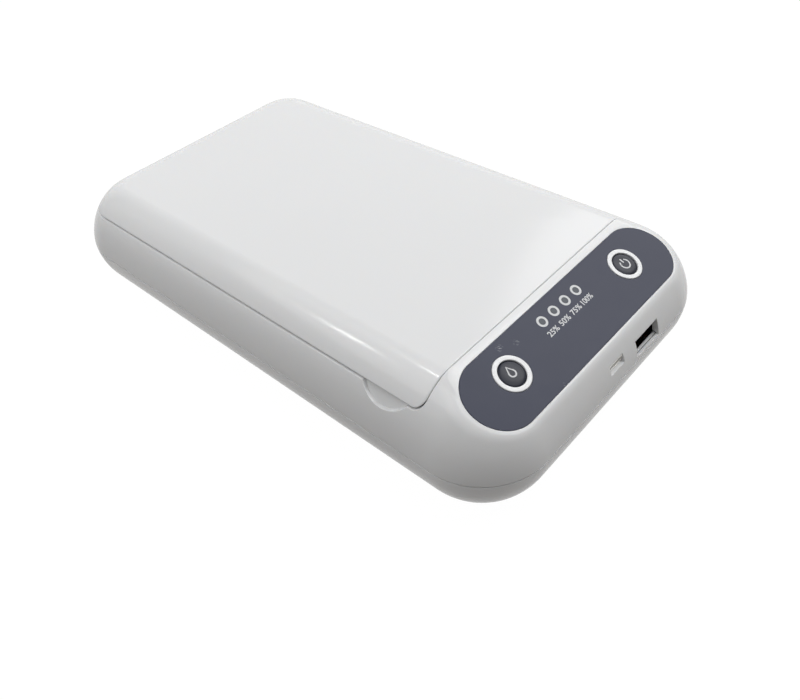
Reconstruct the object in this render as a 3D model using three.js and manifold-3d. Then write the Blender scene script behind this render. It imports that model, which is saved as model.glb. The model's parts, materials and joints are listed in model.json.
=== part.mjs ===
// Ultraviolet sterilizer box for small items, in millimetres.
// +X is the end with the control panel, -Y the long side with the near thumb notch, +Z is up.
// The origin lies under the middle of the box, at the height of the surface that it stands on.
import * as THREE from 'three';
import { mergeVertices } from 'three/addons/utils/BufferGeometryUtils.js';
import Module from 'manifold-3d';

const wasm = await Module();
wasm.setup();

// Overall form: a flat-topped, round-cornered loaf, widest at the seam between the two shells
const boxLength = 219;
const boxWidth = 126;
const boxHeight = 47.5;
const planCorner = 23.9;
const tightestCorner = 1.2;
const shoulderRise = 22.3;
const endShoulder = 19.4;
const sideShoulder = 18.7;
const bellyRun = 24.8;
const shoulderPower = 1.7;
const bellyPower = 2;
const shoulderSteps = 9;
const bellySteps = 7;
const cornerSteps = 4;

// How many flat sides stand for a full round
const smallRound = 10;
const slimRound = 12;
const holeRound = 14;
const postRound = 20;
const ringRound = 32;
const scoopRound = 48;

// Shells
const shellWall = 2.2;
const seamGap = 0.3;
const lipWall = 1;
const lipHeight = 2;
const lipClearance = 0.2;
const seatGap = 0.3;
const overrun = 20;

// Lid and the deck that it closes on
const hoodLength = 31.3;
const lidDepth = 7.7;
const lidCorner = 3.6;
const lidGap = 0.5;
const lidWall = 2;
const deckThickness = 5;

// Sterilizing chamber
const chamberEndMargin = 8.2;
const chamberHingeMargin = 15.5;
const chamberSideMargin = 17;
const chamberCorner = 12;
const chamberFloor = 12;
const trayWall = 1.6;
const trayDraft = 1.5;
const flangeReach = 3;
const flangeThickness = 1.5;
const flangeClearance = 0.4;
const mirrorThickness = 0.4;

// Light seal around the chamber mouth
const sealWidth = 1.6;
const sealHeight = 1.1;
const sealGroove = 0.8;
const sealOffset = 1;
const sealClearance = 0.15;

// Thumb notches
const notchSetback = 13.7;
const notchHalfWidth = 8.9;
const notchDepth = 4.2;
const notchBack = 8.2;

// Hinge at the end away from the panel, flush with the skin so that nothing stands out
const hingeInset = 6.6;
const hingeDrop = 3.15;
const knuckleRadius = 2.6;
const knuckleLength = 36;
const earLength = 11.5;
const knuckleGap = 0.4;
const knuckleClearance = 0.5;
const pinRadius = 1;
const pinClearance = 0.2;
const pinReach = 5;
const hingeBacking = 5.2;
const webShares = [
  [-0.7, 0.3], [-0.7, 1.1], [-0.2, 1.6], [0.65, 1.7], [0.67, 1.33], [0.28, 1.25], [0.28, 0.3]];

// Control panel on its slanted face
const panelAngle = 20.3;
const hoodLand = 0.4;
const filmMargin = 2.4;
const filmWidth = 23.8;
const filmEndMargin = 12.3;
const filmThickness = 0.4;
const filmRecess = 0.6;
const filmClearance = 0.2;
const buttonFromFilm = 10.5;
const buttonEndMargin = 19.4;
const buttonRingOuter = 6.05;
const buttonRingInner = 4.5;
const buttonRingHeight = 0.65;
const buttonTravel = 0.4;
const buttonClearance = 0.2;
const buttonFlange = 5.4;
const buttonFlangeThickness = 0.7;
const buttonStem = 1.5;
const buttonStemLength = 0.8;
const buttonDish = 0.15;
const switchSize = 6;
const switchHeight = 1.9;
const switchPlunger = 1.6;
const switchPlungerHeight = 0.5;
const levelLightCount = 4;
const lightFromFilm = 5.5;
const lightPitch = 6.24;
const lightRadius = 1.5;
const lightHeight = 4.6;
const lightHole = 1.9;

// Circuit boards
const boardThickness = 1.2;
const boardGap = 0.2;
const controlBoardStart = 5.6;
const controlBoardWidth = 11.2;
const controlBoardMargin = 6.2;
const boardPost = 2;
const boardPostInset = 11.3;
const boardScrewRadius = 1;
const boardScrewHole = 1.25;
const boardScrewHead = 2;
const boardScrewHeadHeight = 1;
const boardScrewLength = 5;
const portBoardInset = 5.3;
const portBoardLength = 11.2;
const portBoardMicroMargin = 8;
const portBoardUsbMargin = 10;
const driverBoardInset = 47.5;
const driverBoardLength = 60;
const driverBoardHalfWidth = 24;
const driverPeg = 2.5;
const driverPegHeight = 2;
const driverPegInset = 5;
const transformerLength = 17;
const transformerWidth = 14;
const transformerHeight = 2.9;

// Sockets in the panel end
const usbPlace = 18;
const usbRise = 4.3;
const usbWidth = 13.1;
const usbTall = 5.7;
const usbDepth = 13.4;
const usbInset = 4.4;
const usbSheet = 0.35;
const usbTongueWidth = 11.2;
const usbTongueTall = 1.9;
const usbTongueSetback = 1.6;
const usbTongueRise = 1;
const usbCutWidth = 13.6;
const usbCutTall = 5.9;
const usbTabHeight = 0.8;
const usbTabLength = 2.4;
const microPlace = 0;
const microRise = 6.75;
const microWidth = 7.1;
const microTall = 2.4;
const microDepth = 6;
const microInset = 2.2;
const microSheet = 0.3;
const microTongueWidth = 4.6;
const microTongueTall = 0.6;
const microChamfer = 0.6;

// Ultraviolet lamps in the lid
const lidRecessMargin = 20;
const lidRecessHinge = 19.5;
const lidRecessCorner = 10;
const lidRecessHeight = 3.6;
const linerWall = 1.2;
const lampSpan = 44;
const lampRadius = 1.5;
const lampEndGap = 10;
const lampEndLength = 8;
const lampEndWidth = 7;
const lampEndDepth = 5;
const lampBoreClearance = 0.3;

// Magnets that hold the lid shut, and the sensor that sees it open
const magnetRadius = 2;
const magnetHeight = 1.6;
const magnetInset = 8.2;
const magnetMargin = 16.5;
const sensorLength = 4;
const sensorDepth = 1.5;
const sensorHeight = 3;
const sensorGap = 1;

// Scent pad holder and the clear rails on the chamber floor
const scentFrontMargin = 14;
const scentSideMargin = 16;
const scentRing = 8;
const scentRingWall = 1.1;
const scentRingHeight = 4;
const scentPadHeight = 2.2;
const scentGrilleHeight = 1;
const scentHole = 1.1;
const scentHolePitch = 3.6;
const scentHoleCount = 6;
const scentClearance = 0.3;
const railEndMargin = 40;
const railWidth = 3;
const railHeight = 2.4;
const railSpan = 50;

// Feet and case screws
const footRadius = 5;
const footProud = 1;
const footSunk = 0.6;
const footEndMargin = 37.5;
const footSideMargin = 35;
const screwBoss = 3.8;
const screwRadius = 1.4;
const screwHeadRadius = 2.7;
const screwHeadHeight = 1.8;
const screwGrip = 5.5;
const screwHeadClearance = 0.5;
const screwShankClearance = 0.3;
const screwSeat = 9;
const hingeScrewInset = 27.5;
const hingeScrewMargin = 11;
const panelScrewInset = 19.5;
const panelScrewMargin = 17;

// Finishes
function finish(color, roughness, metalness) {
  return new THREE.MeshStandardMaterial({ color, roughness, metalness });
}
const whiteGloss = finish(0xe8e9eb, 0.25, 0);
const whiteSatin = finish(0xdcdddf, 0.5, 0);
const filmGrey = finish(0x565964, 0.35, 0);
const capGrey = finish(0x55585c, 0.3, 0);
const ringWhite = finish(0xe6e8ec, 0.4, 0);
const mirrorSilver = finish(0xd5d7da, 0.12, 1);
const steel = finish(0xb9bbbe, 0.3, 1);
const socketBlack = finish(0x1d1c1c, 0.6, 0);
const boardGreen = finish(0x1f5a38, 0.5, 0);
const lampGlass = finish(0xdfe6f2, 0.05, 0);
const ceramic = finish(0xf0efe9, 0.6, 0);
const rubber = finish(0x9fa1a4, 0.85, 0);
const sealRubber = finish(0xc9cbce, 0.8, 0);
const clearPlastic = finish(0xe9f0f4, 0.1, 0);
const felt = finish(0xf3f0e6, 1, 0);
const magnetNickel = finish(0xc9cacc, 0.25, 1);

// Places worked out from the sizes above
const quarterTurn = Math.PI / 2;
const halfLength = boxLength / 2;
const halfWidth = boxWidth / 2;
const seamHeight = boxHeight - shoulderRise;
const partingHeight = boxHeight - lidDepth;
const lidFront = halfLength - hoodLength;
const deckTop = partingHeight - lidGap / 2;
const lidBottom = partingHeight + lidGap / 2;
const chamberFront = lidFront - chamberEndMargin;
const chamberRear = chamberHingeMargin - halfLength;
const chamberMiddle = (chamberFront + chamberRear) / 2;
const chamberHalfLength = (chamberFront - chamberRear) / 2;
const chamberHalfWidth = halfWidth - chamberSideMargin;
const notchPlace = lidFront - notchSetback;
const scentPlace = chamberFront - scentFrontMargin;
const scentSide = chamberHalfWidth - scentSideMargin;
const footPlace = halfLength - footEndMargin;
const footSide = halfWidth - footSideMargin;
const lidRecessSide = halfWidth - lidRecessMargin;
const magnetSide = halfWidth - magnetMargin;
const filmLength = boxWidth - 2 * filmEndMargin;
const buttonSpan = filmLength - 2 * buttonEndMargin;
const controlBoardLength = buttonSpan + 2 * controlBoardMargin;
const boardPostSpan = buttonSpan - 2 * boardPostInset;
const usbFront = halfLength - usbInset;
const usbHeight = seamHeight + usbRise;
const microFront = halfLength - microInset;
const microHeight = seamHeight + microRise;
const portBoardEnd = halfLength - portBoardInset;
const driverBoardStart = driverBoardInset - halfLength;
const driverBoardEnd = driverBoardStart + driverBoardLength;
const screwTip = seamHeight + screwGrip;
const hingeX = hingeInset - halfLength;
const hingeZ = partingHeight - hingeDrop;
const earStart = knuckleLength / 2 + knuckleGap;
const earEnd = earStart + earLength;

// Both signs, for pieces in near and far pairs, and the four places of the case screws
const sides = [{ side: 'near', sign: -1 }, { side: 'far', sign: 1 }];
const screwPlaces = sides.flatMap(({ side, sign }) => [
  { label: `hinge_${side}`, x: hingeScrewInset - halfLength, y: sign * (halfWidth - hingeScrewMargin) },
  { label: `panel_${side}`, x: halfLength - panelScrewInset, y: sign * (halfWidth - panelScrewMargin) },
]);

// A three.js geometry as a solid that can be joined and cut
function solid(geometry) {
  const bare = geometry.clone();
  bare.deleteAttribute('normal');
  bare.deleteAttribute('uv');
  const merged = mergeVertices(bare);
  const vertProperties = new Float32Array(merged.attributes.position.array);
  const triVerts = new Uint32Array(merged.index.array);
  return new wasm.Manifold(new wasm.Mesh({ numProp: 3, vertProperties, triVerts }));
}

// A solid back as a three.js geometry
function geometryOf(shape) {
  const { vertProperties, triVerts } = shape.getMesh();
  const geometry = new THREE.BufferGeometry();
  geometry.setAttribute('position', new THREE.BufferAttribute(new Float32Array(vertProperties), 3));
  geometry.setIndex(new THREE.BufferAttribute(new Uint32Array(triVerts), 1));
  geometry.computeVertexNormals();
  return geometry;
}

// A box between two corners
function block(low, high) {
  const geometry = new THREE.BoxGeometry(high[0] - low[0], high[1] - low[1], high[2] - low[2]);
  geometry.translate((low[0] + high[0]) / 2, (low[1] + high[1]) / 2, (low[2] + high[2]) / 2);
  return solid(geometry);
}

// A round bar that stands on Z
function post(radius, low, high, x, y, around = postRound) {
  const geometry = new THREE.CylinderGeometry(radius, radius, high - low, around);
  geometry.rotateX(quarterTurn);
  geometry.translate(x, y, (low + high) / 2);
  return solid(geometry);
}

// A round bar that lies along Y
function barAcross(radius, start, end, x, z, around = postRound) {
  const geometry = new THREE.CylinderGeometry(radius, radius, end - start, around);
  geometry.translate(x, (start + end) / 2, z);
  return solid(geometry);
}

// A round bar that lies along X
function barAlong(radius, start, end, y, z) {
  const geometry = new THREE.CylinderGeometry(radius, radius, end - start, holeRound);
  geometry.rotateZ(-quarterTurn);
  geometry.translate((start + end) / 2, y, z);
  return solid(geometry);
}

// A rectangle with round corners, drawn anticlockwise about its middle
function roundedRectangle(halfX, halfY, radius) {
  const x = halfX - radius;
  const y = halfY - radius;
  const outline = new THREE.Shape();
  outline.absarc(x, y, radius, 0, quarterTurn);
  outline.absarc(-x, y, radius, quarterTurn, 2 * quarterTurn);
  outline.absarc(-x, -y, radius, 2 * quarterTurn, 3 * quarterTurn);
  outline.absarc(x, -y, radius, 3 * quarterTurn, 4 * quarterTurn);
  return outline;
}

// An outline raised from one height to another
function raised(outline, low, high, x = 0, y = 0) {
  const geometry = new THREE.ExtrudeGeometry(outline, {
    depth: high - low, bevelEnabled: false, curveSegments: 2 * cornerSteps });
  geometry.translate(x, y, low);
  return solid(geometry);
}

// A side outline, drawn in X and Z, that runs across the box from one Y to another
function across(outline, near, far) {
  const geometry = new THREE.ExtrudeGeometry(outline, {
    depth: far - near, bevelEnabled: false, curveSegments: 2 * cornerSteps });
  geometry.rotateX(quarterTurn);
  geometry.translate(0, far, 0);
  return solid(geometry);
}

// A closed skin through rings of points that lie over each other
function loft(rings) {
  const count = rings[0].length;
  const top = (rings.length - 1) * count;
  const index = [];
  for (let level = 0; level < top; level += count) {
    for (let side = 0; side < count; side += 1) {
      const here = level + side;
      const next = level + (side + 1) % count;
      index.push(here, next, next + count, here, next + count, here + count);
    }
  }
  for (let side = 1; side + 1 < count; side += 1) {
    index.push(0, side + 1, side, top, top + side, top + side + 1);
  }
  const geometry = new THREE.BufferGeometry();
  const positions = rings.flat().flatMap((point) => [point.x, point.y, point.z]);
  geometry.setAttribute('position', new THREE.Float32BufferAttribute(positions, 3));
  geometry.setIndex(index);
  return solid(geometry);
}

// One level ring of the loaf or the tray
function ring(halfX, halfY, corner, height) {
  const outline = roundedRectangle(halfX, halfY, Math.max(corner, tightestCorner));
  return outline.getPoints(cornerSteps).map((point) => new THREE.Vector3(point.x, point.y, height));
}

// A quarter of a superellipse of unit run and rise, from its widest point to its end
function quarterCurve(power, steps) {
  return Array.from({ length: steps + 1 }, (unused, step) => {
    const angle = quarterTurn * step / steps;
    const run = 1 - Math.cos(angle) ** (2 / power);
    const rise = Math.sin(angle) ** (2 / power);
    return { run, rise };
  });
}

// The whole loaf, drawn in by an offset on every side
function loaf(offset) {
  const rings = [];
  const corner = planCorner - offset;
  const bellyRise = seamHeight - footProud - offset;
  const shoulderRise = boxHeight - seamHeight - offset;
  for (const { run, rise } of quarterCurve(bellyPower, bellySteps).reverse()) {
    const inset = run * (bellyRun - offset);
    const height = seamHeight - rise * bellyRise;
    rings.push(ring(halfLength - offset - inset, halfWidth - offset - inset, corner - inset, height));
  }
  for (const { run, rise } of quarterCurve(shoulderPower, shoulderSteps).slice(1)) {
    const endInset = run * (endShoulder - offset);
    const sideInset = run * (sideShoulder - offset);
    const height = seamHeight + rise * shoulderRise;
    const round = corner - Math.min(endInset, sideInset);
    rings.push(ring(halfLength - offset - endInset, halfWidth - offset - sideInset, round, height));
  }
  return loft(rings);
}

// A slice of space between two heights, wider than the box
function slice(low, high) {
  return block([-boxLength, -boxWidth, low], [boxLength, boxWidth, high]);
}

// The space that the lid takes, grown or drawn in, seen from the side
function lidSpace(grow, corner = lidCorner) {
  const front = lidFront + grow;
  const low = partingHeight - grow;
  const radius = corner + grow;
  const outline = new THREE.Shape();
  outline.moveTo(-boxLength, boxHeight + overrun);
  outline.lineTo(-boxLength, low);
  outline.lineTo(front - radius, low);
  outline.absarc(front - radius, low + radius, radius, -quarterTurn, 0);
  outline.lineTo(front, boxHeight + overrun);
  return across(outline, -boxWidth, boxWidth);
}

// The panel's own frame: origin at the hood's top edge, x down the slope, z out of the face
const hoodEdge = lidFront + lidGap / 2 + hoodLand;
const panel = new THREE.Group();
panel.position.set(hoodEdge, 0, boxHeight);
panel.rotation.y = THREE.MathUtils.degToRad(panelAngle);
panel.updateMatrixWorld(true);

// A cutter or a boss given in the panel's frame, moved to the box's frame
function onPanel(shape) {
  const geometry = geometryOf(shape);
  geometry.applyMatrix4(panel.matrixWorld);
  return solid(geometry);
}

// Everything above the slanted face, which lies a depth below the real one
function abovePanel(depth) {
  return onPanel(block([depth * -Math.tan(panel.rotation.y) - depth, -boxWidth, -depth],
    [boxLength, boxWidth, boxHeight]));
}

const filmMiddle = filmMargin + filmWidth / 2;
const buttonU = filmMargin + buttonFromFilm;
const lightU = filmMargin + lightFromFilm;
const lightPlaces = Array.from({ length: levelLightCount },
  (unused, step) => (step - (levelLightCount - 1) / 2) * lightPitch);
const buttonPlaces = [
  { name: 'scent_button', v: -buttonSpan / 2 },
  { name: 'start_button', v: buttonSpan / 2 },
];
const capTop = buttonRingHeight - seatGap - buttonDish;
const flangeTop = -shellWall - seatGap;
const stemEnd = flangeTop - buttonFlangeThickness - buttonStemLength;
const plungerTop = stemEnd - buttonTravel - boardGap / 2;
const controlTop = plungerTop - switchPlungerHeight - switchHeight - boardGap;
const controlBottom = controlTop - boardThickness;

// Case bosses, upright tubes that stay inside the skin
const bossSkin = loaf(shellWall / 2);
function bosses(low, high) {
  return screwPlaces.map(({ x, y }) => post(screwBoss, low, high, x, y).intersect(bossSkin));
}
function joinAll(first, others) {
  return others.reduce((sum, other) => sum.add(other), first);
}
function cutAll(first, others) {
  return others.reduce((rest, other) => rest.subtract(other), first);
}

// Lower shell: bowl, locating lip, screw bosses, pegs for the driver board
function makeLowerShell() {
  const top = seamHeight - seamGap / 2;
  const bowl = loaf(0).intersect(slice(-overrun, top)).subtract(loaf(shellWall));
  const lipOuter = loaf(shellWall - lipWall + lipClearance);
  const lip = lipOuter.subtract(loaf(shellWall))
    .intersect(slice(seamHeight - lipHeight, seamHeight + lipHeight));
  const socketRelief = block([usbFront - usbDepth, usbPlace - usbWidth, seamHeight - seamGap],
    [boxLength, usbPlace + usbWidth, boxHeight]);
  const pegTop = footProud + shellWall + driverPegHeight;
  const pegs = [];
  for (const x of [driverBoardStart + driverPegInset, driverBoardEnd - driverPegInset]) {
    for (const { sign } of sides) {
      const y = sign * (driverBoardHalfWidth - driverPegInset);
      pegs.push(post(driverPeg, footProud + shellWall / 2, pegTop, x, y));
    }
  }
  const shell = joinAll(bowl.add(lip.subtract(socketRelief)), [...bosses(0, top - seamGap), ...pegs]);
  const cuts = [];
  for (const { x, y } of screwPlaces) {
    cuts.push(post(screwHeadRadius + screwHeadClearance, -overrun, screwSeat, x, y));
    cuts.push(post(screwRadius + screwShankClearance, -overrun, boxHeight, x, y, slimRound));
  }
  for (const x of [-footPlace, footPlace]) {
    for (const { sign } of sides) {
      const ceiling = footProud + footSunk + seatGap;
      cuts.push(post(footRadius + seatGap, -overrun, ceiling, x, sign * footSide));
    }
  }
  return cutAll(shell, cuts);
}

// Upper shell: side walls, the deck around the chamber, the hood of the panel and the hinge ears
function makeUpperShell() {
  const bottom = seamHeight + seamGap / 2;
  const outer = loaf(0).intersect(slice(bottom, boxHeight + overrun))
    .subtract(abovePanel(0)).subtract(lidSpace(lidGap / 2));
  const room = loaf(shellWall).subtract(abovePanel(shellWall))
    .subtract(lidSpace(lidGap / 2 + shellWall).add(lidSpace(lidGap / 2).add(
      block([-boxLength, -boxWidth, deckTop - deckThickness],
        [lidFront + lidGap / 2 + shellWall, boxWidth, boxHeight]))));
  const rebate = loaf(lipWall).intersect(slice(-overrun, seamHeight + lipHeight + seatGap));
  const backing = block([-boxLength, -earEnd - shellWall, hingeZ - knuckleRadius - shellWall],
    [hingeX + hingeBacking, earEnd + shellWall, deckTop]).intersect(bossSkin);
  const shell = outer.subtract(room).subtract(rebate).add(backing);
  const ceiling = abovePanel(shellWall / 2).add(lidSpace(lidGap / 2 + shellWall));
  const upperBosses = bosses(seamHeight + seamGap, boxHeight).map((boss) => boss.subtract(ceiling));
  const joined = joinAll(shell, upperBosses);
  const posts = sides.map(({ sign }) => onPanel(post(boardPost, controlTop + boardGap, -shellWall / 2,
    buttonU, sign * boardPostSpan / 2, holeRound)));
  const withBosses = joinAll(joined, posts);

  const mouth = roundedRectangle(chamberHalfLength + trayWall + flangeClearance,
    chamberHalfWidth + trayWall + flangeClearance, chamberCorner + trayWall + flangeClearance);
  const rim = flangeReach + flangeClearance;
  const rimOutline = roundedRectangle(chamberHalfLength + rim, chamberHalfWidth + rim, chamberCorner + rim);
  const sealInner = flangeReach + sealOffset - sealClearance;
  const sealOuter = flangeReach + sealOffset + sealWidth + sealClearance;
  const grooveOut = raised(roundedRectangle(chamberHalfLength + sealOuter, chamberHalfWidth + sealOuter,
    chamberCorner + sealOuter), deckTop - sealGroove, deckTop + overrun, chamberMiddle);
  const grooveIn = raised(roundedRectangle(chamberHalfLength + sealInner, chamberHalfWidth + sealInner,
    chamberCorner + sealInner), deckTop - sealGroove - overrun, deckTop + 2 * overrun, chamberMiddle);
  const notchRadius = (notchHalfWidth ** 2 + notchDepth ** 2) / (2 * notchDepth);
  const notchCentre = partingHeight - notchDepth + notchRadius;
  const cuts = [
    raised(mouth, -overrun, boxHeight, chamberMiddle),
    raised(rimOutline, deckTop - flangeThickness - seatGap, boxHeight, chamberMiddle),
    grooveOut.subtract(grooveIn),
    barAcross(notchRadius, -boxWidth, notchBack - halfWidth, notchPlace, notchCentre, scoopRound),
    barAcross(notchRadius, halfWidth - notchBack, boxWidth, notchPlace, notchCentre, scoopRound),
    barAcross(knuckleRadius + knuckleClearance, -earStart, earStart, hingeX, hingeZ),
    barAcross(pinRadius + pinClearance, -earEnd, earEnd, hingeX, hingeZ, holeRound),
    onPanel(raised(stadium(filmWidth + 2 * filmClearance, filmLength + 2 * filmClearance),
      -filmRecess, overrun, filmMiddle)),
    block([usbFront - seatGap, usbPlace - usbCutWidth / 2, usbHeight - usbCutTall / 2],
      [boxLength, usbPlace + usbCutWidth / 2, usbHeight + usbCutTall / 2]),
    block([microFront - microDepth - seatGap, microPlace - microWidth / 2 - seatGap,
      microHeight - microTall / 2 - seatGap],
    [boxLength, microPlace + microWidth / 2 + seatGap, microHeight + microTall / 2 + seatGap]),
  ];
  for (const { v } of buttonPlaces) {
    const bore = buttonRingInner + seatGap / 2;
    cuts.push(onPanel(post(bore, flangeTop, overrun, buttonU, v, ringRound)));
  }
  for (const v of lightPlaces) {
    cuts.push(onPanel(post(lightHole, -shellWall - seatGap, overrun, lightU, v, holeRound)));
  }
  for (const { sign } of sides) {
    cuts.push(onPanel(post(boardScrewHole, controlBottom - overrun, -shellWall - seatGap,
      buttonU, sign * boardPostSpan / 2, smallRound)));
  }
  for (const { x, y } of screwPlaces) {
    cuts.push(post(screwRadius + seatGap, seamHeight - overrun, screwTip + seatGap, x, y, slimRound));
  }
  return cutAll(withBosses, cuts);
}

// A slot outline with full round ends, as long as it is given along Y
function stadium(width, length) {
  const radius = width / 2;
  const straight = length / 2 - radius;
  const outline = new THREE.Shape();
  outline.absarc(0, straight, radius, 0, 2 * quarterTurn);
  outline.absarc(0, -straight, radius, 2 * quarterTurn, 4 * quarterTurn);
  return outline;
}

// Lid shell: a thin cover with its front end, and the hinge knuckle in its rear wall
function makeLidShell() {
  const cover = loaf(0).intersect(lidSpace(-lidGap / 2));
  const inside = loaf(lidWall).intersect(block([-boxLength, -boxWidth, 0],
    [lidFront - lidGap / 2 - lidWall, boxWidth, boxHeight]));
  const web = new THREE.Shape(webShares.map(([right, up]) => new THREE.Vector2(
    hingeX + right * knuckleRadius, hingeZ + up * knuckleRadius)));
  const knuckle = across(web, -knuckleLength / 2, knuckleLength / 2)
    .add(barAcross(knuckleRadius, -knuckleLength / 2, knuckleLength / 2, hingeX, hingeZ))
    .intersect(loaf(0));
  const bores = sides.map(({ sign }) => barAcross(pinRadius + pinClearance,
    sign < 0 ? -knuckleLength : knuckleLength / 2 - pinReach - seatGap,
    sign < 0 ? pinReach + seatGap - knuckleLength / 2 : knuckleLength, hingeX, hingeZ, holeRound));
  return cutAll(cover.subtract(inside).add(knuckle), bores);
}

const recessHalfLength = (chamberFront - lidRecessHinge + halfLength) / 2;
const recessMiddle = (chamberFront + lidRecessHinge - halfLength) / 2;
const linerFlangeTop = lidBottom + linerWall;
const recessCeiling = lidBottom + lidRecessHeight;

// Lid liner: a flange that closes the lid's edge, and a shallow recess for the lamps
function makeLidLiner() {
  const clear = lidWall + seatGap;
  const flange = loaf(clear).intersect(block(
    [-boxLength, -boxWidth, lidBottom], [lidFront - lidGap / 2 - clear, boxWidth, linerFlangeTop]));
  const hat = raised(roundedRectangle(recessHalfLength + linerWall, lidRecessSide + linerWall,
    lidRecessCorner + linerWall), lidBottom, recessCeiling + linerWall, recessMiddle);
  const recess = raised(roundedRectangle(recessHalfLength, lidRecessSide, lidRecessCorner),
    -overrun, recessCeiling, recessMiddle);
  return flange.add(hat).subtract(recess);
}

// Chamber tray: a drafted tub that hangs by its flange, with the ring for the scent pad
function tub(grow, floor, top) {
  return loft([trayDraft, 0].map((draft, level) => ring(chamberHalfLength + grow - draft,
    chamberHalfWidth + grow - draft, chamberCorner + grow - draft, level ? top : floor)
    .map((point) => point.setX(point.x + chamberMiddle))));
}
function makeTray() {
  const flange = raised(roundedRectangle(chamberHalfLength + flangeReach, chamberHalfWidth + flangeReach,
    chamberCorner + flangeReach), deckTop - flangeThickness, deckTop, chamberMiddle);
  const holder = post(scentRing, chamberFloor - trayWall / 2, chamberFloor + scentRingHeight,
    scentPlace, scentSide).subtract(
    post(scentRing - scentRingWall, chamberFloor, chamberFloor + overrun, scentPlace, scentSide));
  return tub(trayWall, chamberFloor - trayWall, deckTop - flangeThickness / 2).add(flange)
    .subtract(tub(0, chamberFloor, deckTop + trayDraft)).add(holder);
}

// Mirror sheets on the chamber floor and in the lid's recess
function makeTrayMirror() {
  const inset = trayDraft + seatGap;
  const low = chamberFloor + seatGap;
  return raised(roundedRectangle(chamberHalfLength - inset, chamberHalfWidth - inset, chamberCorner - inset),
    low, low + mirrorThickness, chamberMiddle)
    .subtract(post(scentRing + seatGap, 0, boxHeight, scentPlace, scentSide));
}
const lidMirrorTop = recessCeiling - seatGap;
const lidMirrorBottom = lidMirrorTop - mirrorThickness;
function makeLidMirror() {
  return raised(roundedRectangle(recessHalfLength - seatGap, lidRecessSide - seatGap,
    lidRecessCorner - seatGap), lidMirrorBottom, lidMirrorTop, recessMiddle);
}

// A sheet-metal socket shell, open at the front, and the tongue inside it
function socketShell(front, depth, y, z, width, tall, sheet, chamfer) {
  const outline = (grow) => {
    const shape = new THREE.Shape();
    const side = width / 2 + grow;
    const half = tall / 2 + grow;
    shape.moveTo(y + side, z + half);
    shape.lineTo(y - side, z + half);
    shape.lineTo(y - side, z - half + chamfer);
    shape.lineTo(y - side + chamfer, z - half);
    shape.lineTo(y + side - chamfer, z - half);
    shape.lineTo(y + side, z - half + chamfer);
    return shape;
  };
  const run = (shape, start, end) => {
    const geometry = new THREE.ExtrudeGeometry(shape, { depth: end - start, bevelEnabled: false });
    geometry.rotateX(quarterTurn);
    geometry.rotateZ(quarterTurn);
    geometry.translate(start, 0, 0);
    return solid(geometry);
  };
  const room = run(outline(-sheet), front - depth + sheet, front + overrun);
  return run(outline(0), front - depth, front).subtract(room);
}

const box = new THREE.Group();
function place(name, shape, material, parent = box) {
  const geometry = shape.isBufferGeometry ? shape : geometryOf(shape);
  const mesh = new THREE.Mesh(geometry, material);
  mesh.name = name;
  parent.add(mesh);
  return mesh;
}

// Casing
place('lower_shell', makeLowerShell(), whiteGloss);
place('upper_shell', makeUpperShell(), whiteGloss);
place('lid_shell', makeLidShell(), whiteGloss);
place('lid_liner', makeLidLiner(), whiteSatin);
place('chamber_tray', makeTray(), mirrorSilver);
place('tray_mirror', makeTrayMirror(), mirrorSilver);
place('lid_mirror', makeLidMirror(), mirrorSilver);

// Light seal in its groove
const sealIn = flangeReach + sealOffset;
const sealOut = sealIn + sealWidth;
const sealLow = deckTop - sealGroove + sealClearance;
const sealTop = Math.min(sealLow + sealHeight, lidBottom - sealClearance);
place('chamber_seal', raised(roundedRectangle(chamberHalfLength + sealOut, chamberHalfWidth + sealOut,
  chamberCorner + sealOut), sealLow, sealTop, chamberMiddle)
  .subtract(raised(roundedRectangle(chamberHalfLength + sealIn, chamberHalfWidth + sealIn,
    chamberCorner + sealIn), 0, boxHeight, chamberMiddle)), sealRubber);

// Hinge pins, lamps with their end holders, magnets
const lampZ = lidMirrorBottom - seatGap - lampRadius;
const lampStart = recessMiddle - recessHalfLength + lampEndGap;
const lampEnd = recessMiddle + recessHalfLength - lampEndGap;
for (const { side, sign } of sides) {
  const pinIn = sign * (knuckleLength / 2 - pinReach);
  const pinOut = sign * (earEnd - seatGap);
  place(`hinge_pin_${side}`, barAcross(pinRadius, Math.min(pinIn, pinOut), Math.max(pinIn, pinOut),
    hingeX, hingeZ, slimRound), steel);
  const lampY = sign * lampSpan / 2;
  place(`uv_lamp_${side}`, barAlong(lampRadius, lampStart, lampEnd, lampY, lampZ), lampGlass);
  const bore = barAlong(lampRadius + lampBoreClearance, lampStart - lampBoreClearance,
    lampEnd + lampBoreClearance, lampY, lampZ);
  for (const [end, from, to] of [
    ['hinge_end', lampStart + lampEndDepth - lampEndLength, lampStart + lampEndDepth],
    ['panel_end', lampEnd - lampEndDepth, lampEnd - lampEndDepth + lampEndLength],
  ]) {
    const low = lampZ - lampRadius - 2 * lampBoreClearance;
    place(`lamp_holder_${side}_${end}`, block([from, lampY - lampEndWidth / 2, low],
      [to, lampY + lampEndWidth / 2, lidMirrorBottom - seatGap / 2]).subtract(bore), ceramic);
  }
  const magnetX = lidFront - magnetInset;
  const lidMagnetLow = linerFlangeTop + seatGap;
  const bodyMagnetTop = deckTop - deckThickness - seatGap;
  place(`lid_magnet_${side}`, post(magnetRadius, lidMagnetLow, lidMagnetLow + magnetHeight,
    magnetX, sign * magnetSide, holeRound), magnetNickel);
  place(`body_magnet_${side}`, post(magnetRadius, bodyMagnetTop - magnetHeight, bodyMagnetTop,
    magnetX, sign * magnetSide, holeRound), magnetNickel);
}
const sensorX = lidFront + lidGap / 2 + shellWall + seatGap;
const sensorY = controlBoardLength / 2 + sensorGap;
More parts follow.
